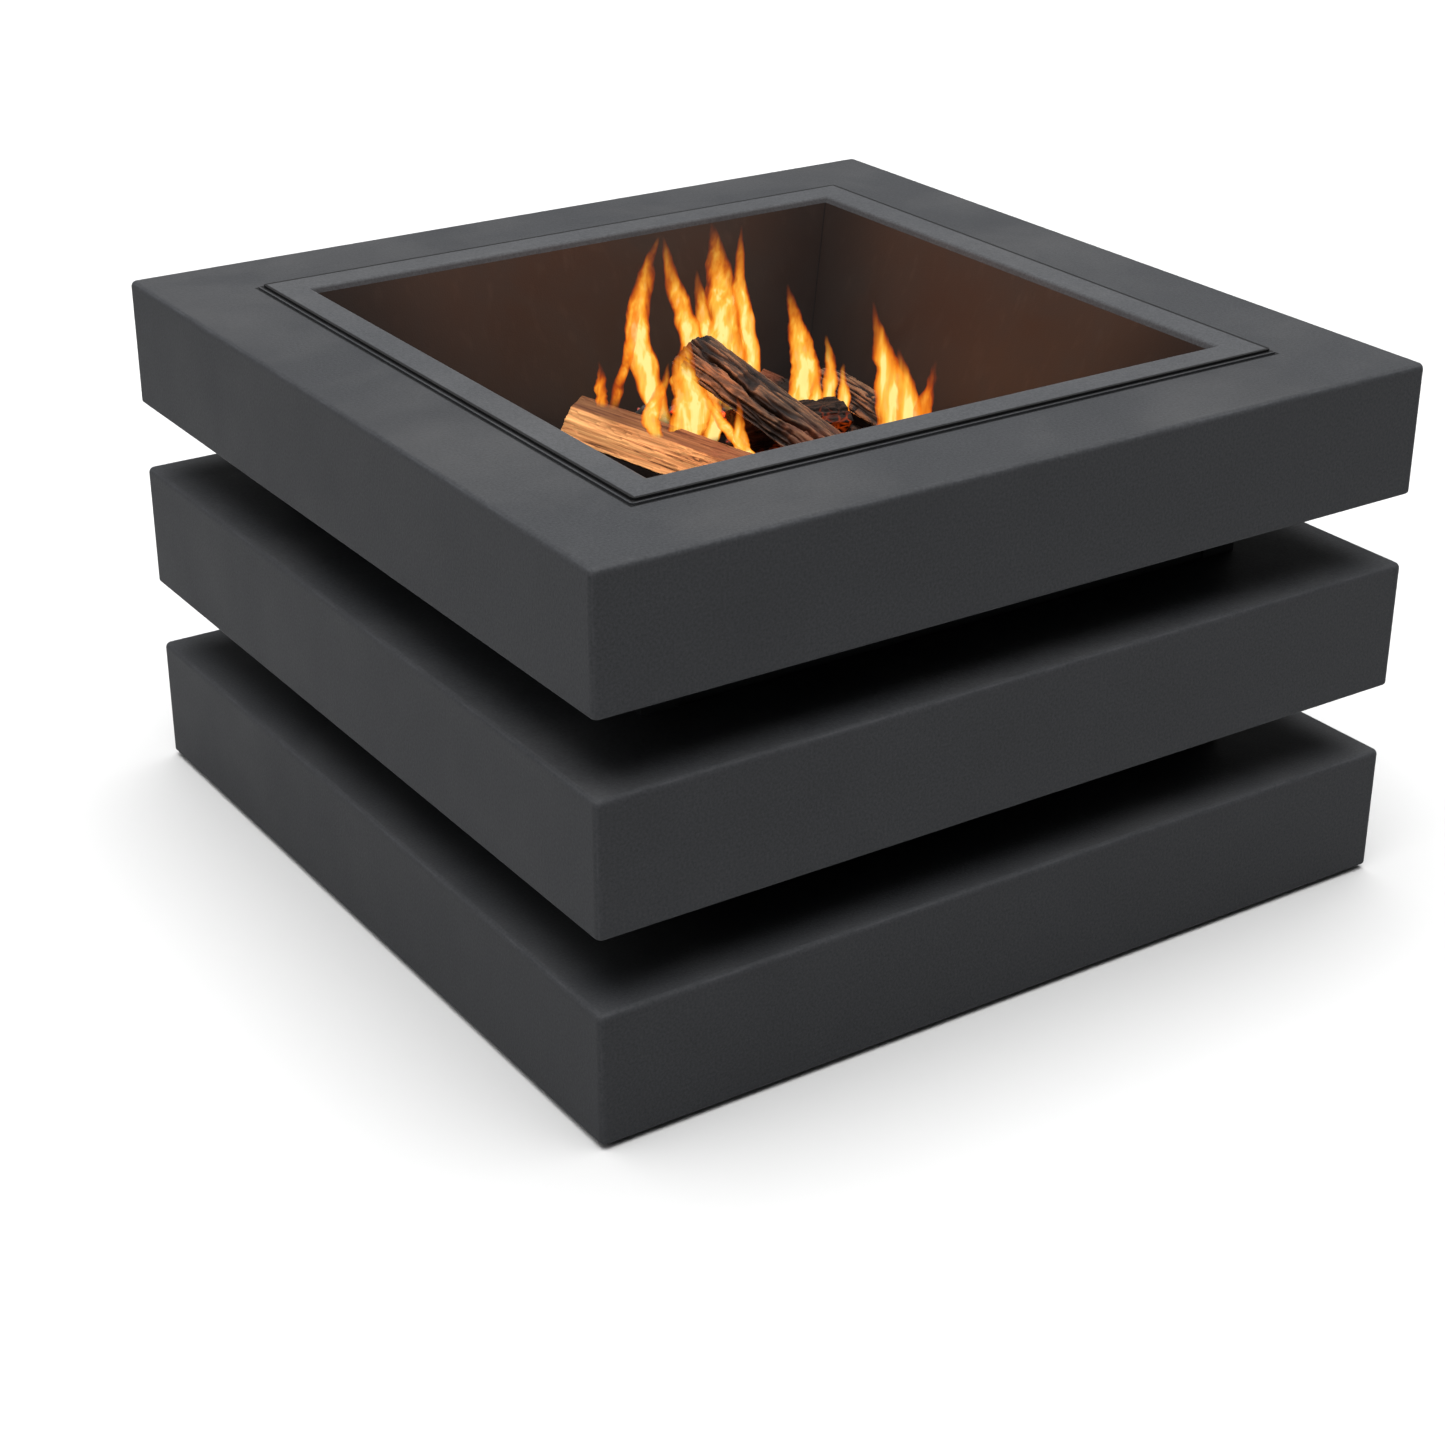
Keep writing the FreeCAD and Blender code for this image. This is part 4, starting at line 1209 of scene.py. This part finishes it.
@dataclass
class Studio:
    """Pale floor, soft lights and the camera."""

    camera_place: tuple[float, float, float] = (-1.1048, -1.6265, 1.0375)
    azimuth: float = -33.61
    elevation: float = 26.02
    roll: float = 0.15
    lens_mm: float = 67.75
    floor_reach: float = 60.0
    fire_power: float = 0.4
    air: float = 0.02
    horizon: float = 1.0
    horizon_top: float = 0.07
    soft_boxes: tuple[SoftBox, ...] = (
        SoftBox((0.0, 0.0, 1.0), core=18, edge=42, strength=9.4),
        SoftBox((-1.0, -0.15, 1.0), core=12, edge=42, strength=1.2),
        SoftBox((0.9, 0.7, 0.5), core=15, edge=45, strength=0.35),
    )

    def floor(self) -> None:
        """Make the floor, which isn't part of the fire pit."""
        r = self.floor_reach
        plane = mesh_object("studio_floor", [(-r, -r, 0), (r, -r, 0), (r, r, 0), (-r, r, 0)], [(0, 1, 2, 3)])
        StudioFloor("painted_floor_pale").dress(plane)

    def fire_light(self) -> None:
        """Add the warm light that the fire throws on the bowl and logs."""
        middle = (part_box("log_leaning")[0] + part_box("log_leaning")[1]) / 2
        for name, offset in (("fire_glow_left", (-0.05, 0.02, 0.05)),
                             ("fire_glow_right", (0.08, 0.06, 0.03))):
            lamp = bpy.data.lights.new(name, "POINT")
            lamp.energy = self.fire_power
            lamp.color = linear("#ff9a4a")[:3]
            lamp.shadow_soft_size = 0.04
            made = bpy.data.objects.new(name, lamp)
            bpy.context.scene.collection.objects.link(made)
            made.location = middle + Vector(offset)

    def lights(self) -> None:
        """Light the pit as in a white studio: soft boxes far off, mostly overhead, over a pale horizon."""
        world = bpy.data.worlds.new("studio_air")
        bpy.context.scene.world = world
        world.use_nodes = True
        tree = world.node_tree
        way = add(tree, "TexCoord", out="Generated")
        height = add(tree, "SeparateXYZ", {0: way}, out="Z")
        total = add(tree, "MapRange", {
            "Value": height, "From Min": self.horizon_top, "From Max": 0.02,
            "To Min": self.air, "To Max": self.horizon})
        for box in self.soft_boxes:
            aim = tuple(Vector(box.towards).normalized())
            near = add(tree, "VectorMath", {0: way, 1: aim}, out="Value", operation="DOT_PRODUCT")
            lit = add(tree, "MapRange", {
                "Value": near, "From Min": math.cos(math.radians(box.edge)),
                "From Max": math.cos(math.radians(box.core)), "To Max": box.strength},
                interpolation_type="SMOOTHSTEP")
            total = add(tree, "Math", {0: total, 1: lit}, operation="ADD")
        background = tree.nodes["Background"]
        background.inputs["Color"].default_value = linear("#ffffff")
        tree.links.new(total, background.inputs["Strength"])

    def camera(self) -> None:
        """Set the camera at the viewing angle."""
        lens = bpy.data.cameras.new("view")
        lens.lens = self.lens_mm
        lens.sensor_width = 36.0
        made = bpy.data.objects.new("view", lens)
        bpy.context.scene.collection.objects.link(made)
        turn = Matrix.Rotation(math.radians(self.azimuth), 4, "Z")
        tip = Matrix.Rotation(math.radians(90 - self.elevation), 4, "X")
        lean = Matrix.Rotation(math.radians(self.roll), 4, "Z")
        made.matrix_world = Matrix.Translation(self.camera_place) @ turn @ tip @ lean
        bpy.context.scene.camera = made

    def build(self) -> None:
        """Set up floor, lights and camera."""
        bpy.context.scene.view_settings.view_transform = "Standard"
        self.camera()
        self.floor()
        self.lights()
        self.fire_light()


def main() -> None:
    """Build every piece in order."""
    Studio().build()
    Metalwork(frame["nodes"], frame["record"]).dress()
    firewood = (
        SplitLog("log_left", "bed_logs", "split_wood", seed=1.7, char=(0.66, 1.1), split_depth=1.6 * MM,
                 glow=0.6, ridge=(28.6, 15.0 * MM)),
        SplitLog("log_back", "bed_logs", "bark_wood", seed=4.2, char=(-0.4, 0.3), glow=0.3),
        SplitLog("log_right", "bed_logs", "bark_wood", seed=8.9, char=(0.7, 1.2), bark_depth=2.6 * MM,
                 plate="#4b3424"),
        SplitLog("log_small", "bed_logs", "split_wood", seed=12.3, char=(-0.3, 0.3), glow=0.8),
        SplitLog("log_leaning", "leaning_log", "bark_wood", seed=20.6, char=(0.6, 1.4),
                 crack=6.0 * MM, bark_depth=4.2 * MM, glow=1.2),
    )
    for log in firewood:
        log.build()
    Embers().build()
    AshBed().build()
    Flames("flames_of_leaning_log", "leaning_log", LEANING_LOG_TONGUES, seed=3.1).build()
    Flames("flames_of_bed_logs", "bed_logs", BED_LOG_TONGUES, seed=6.4).build()


if __name__ == "__main__":
    main()
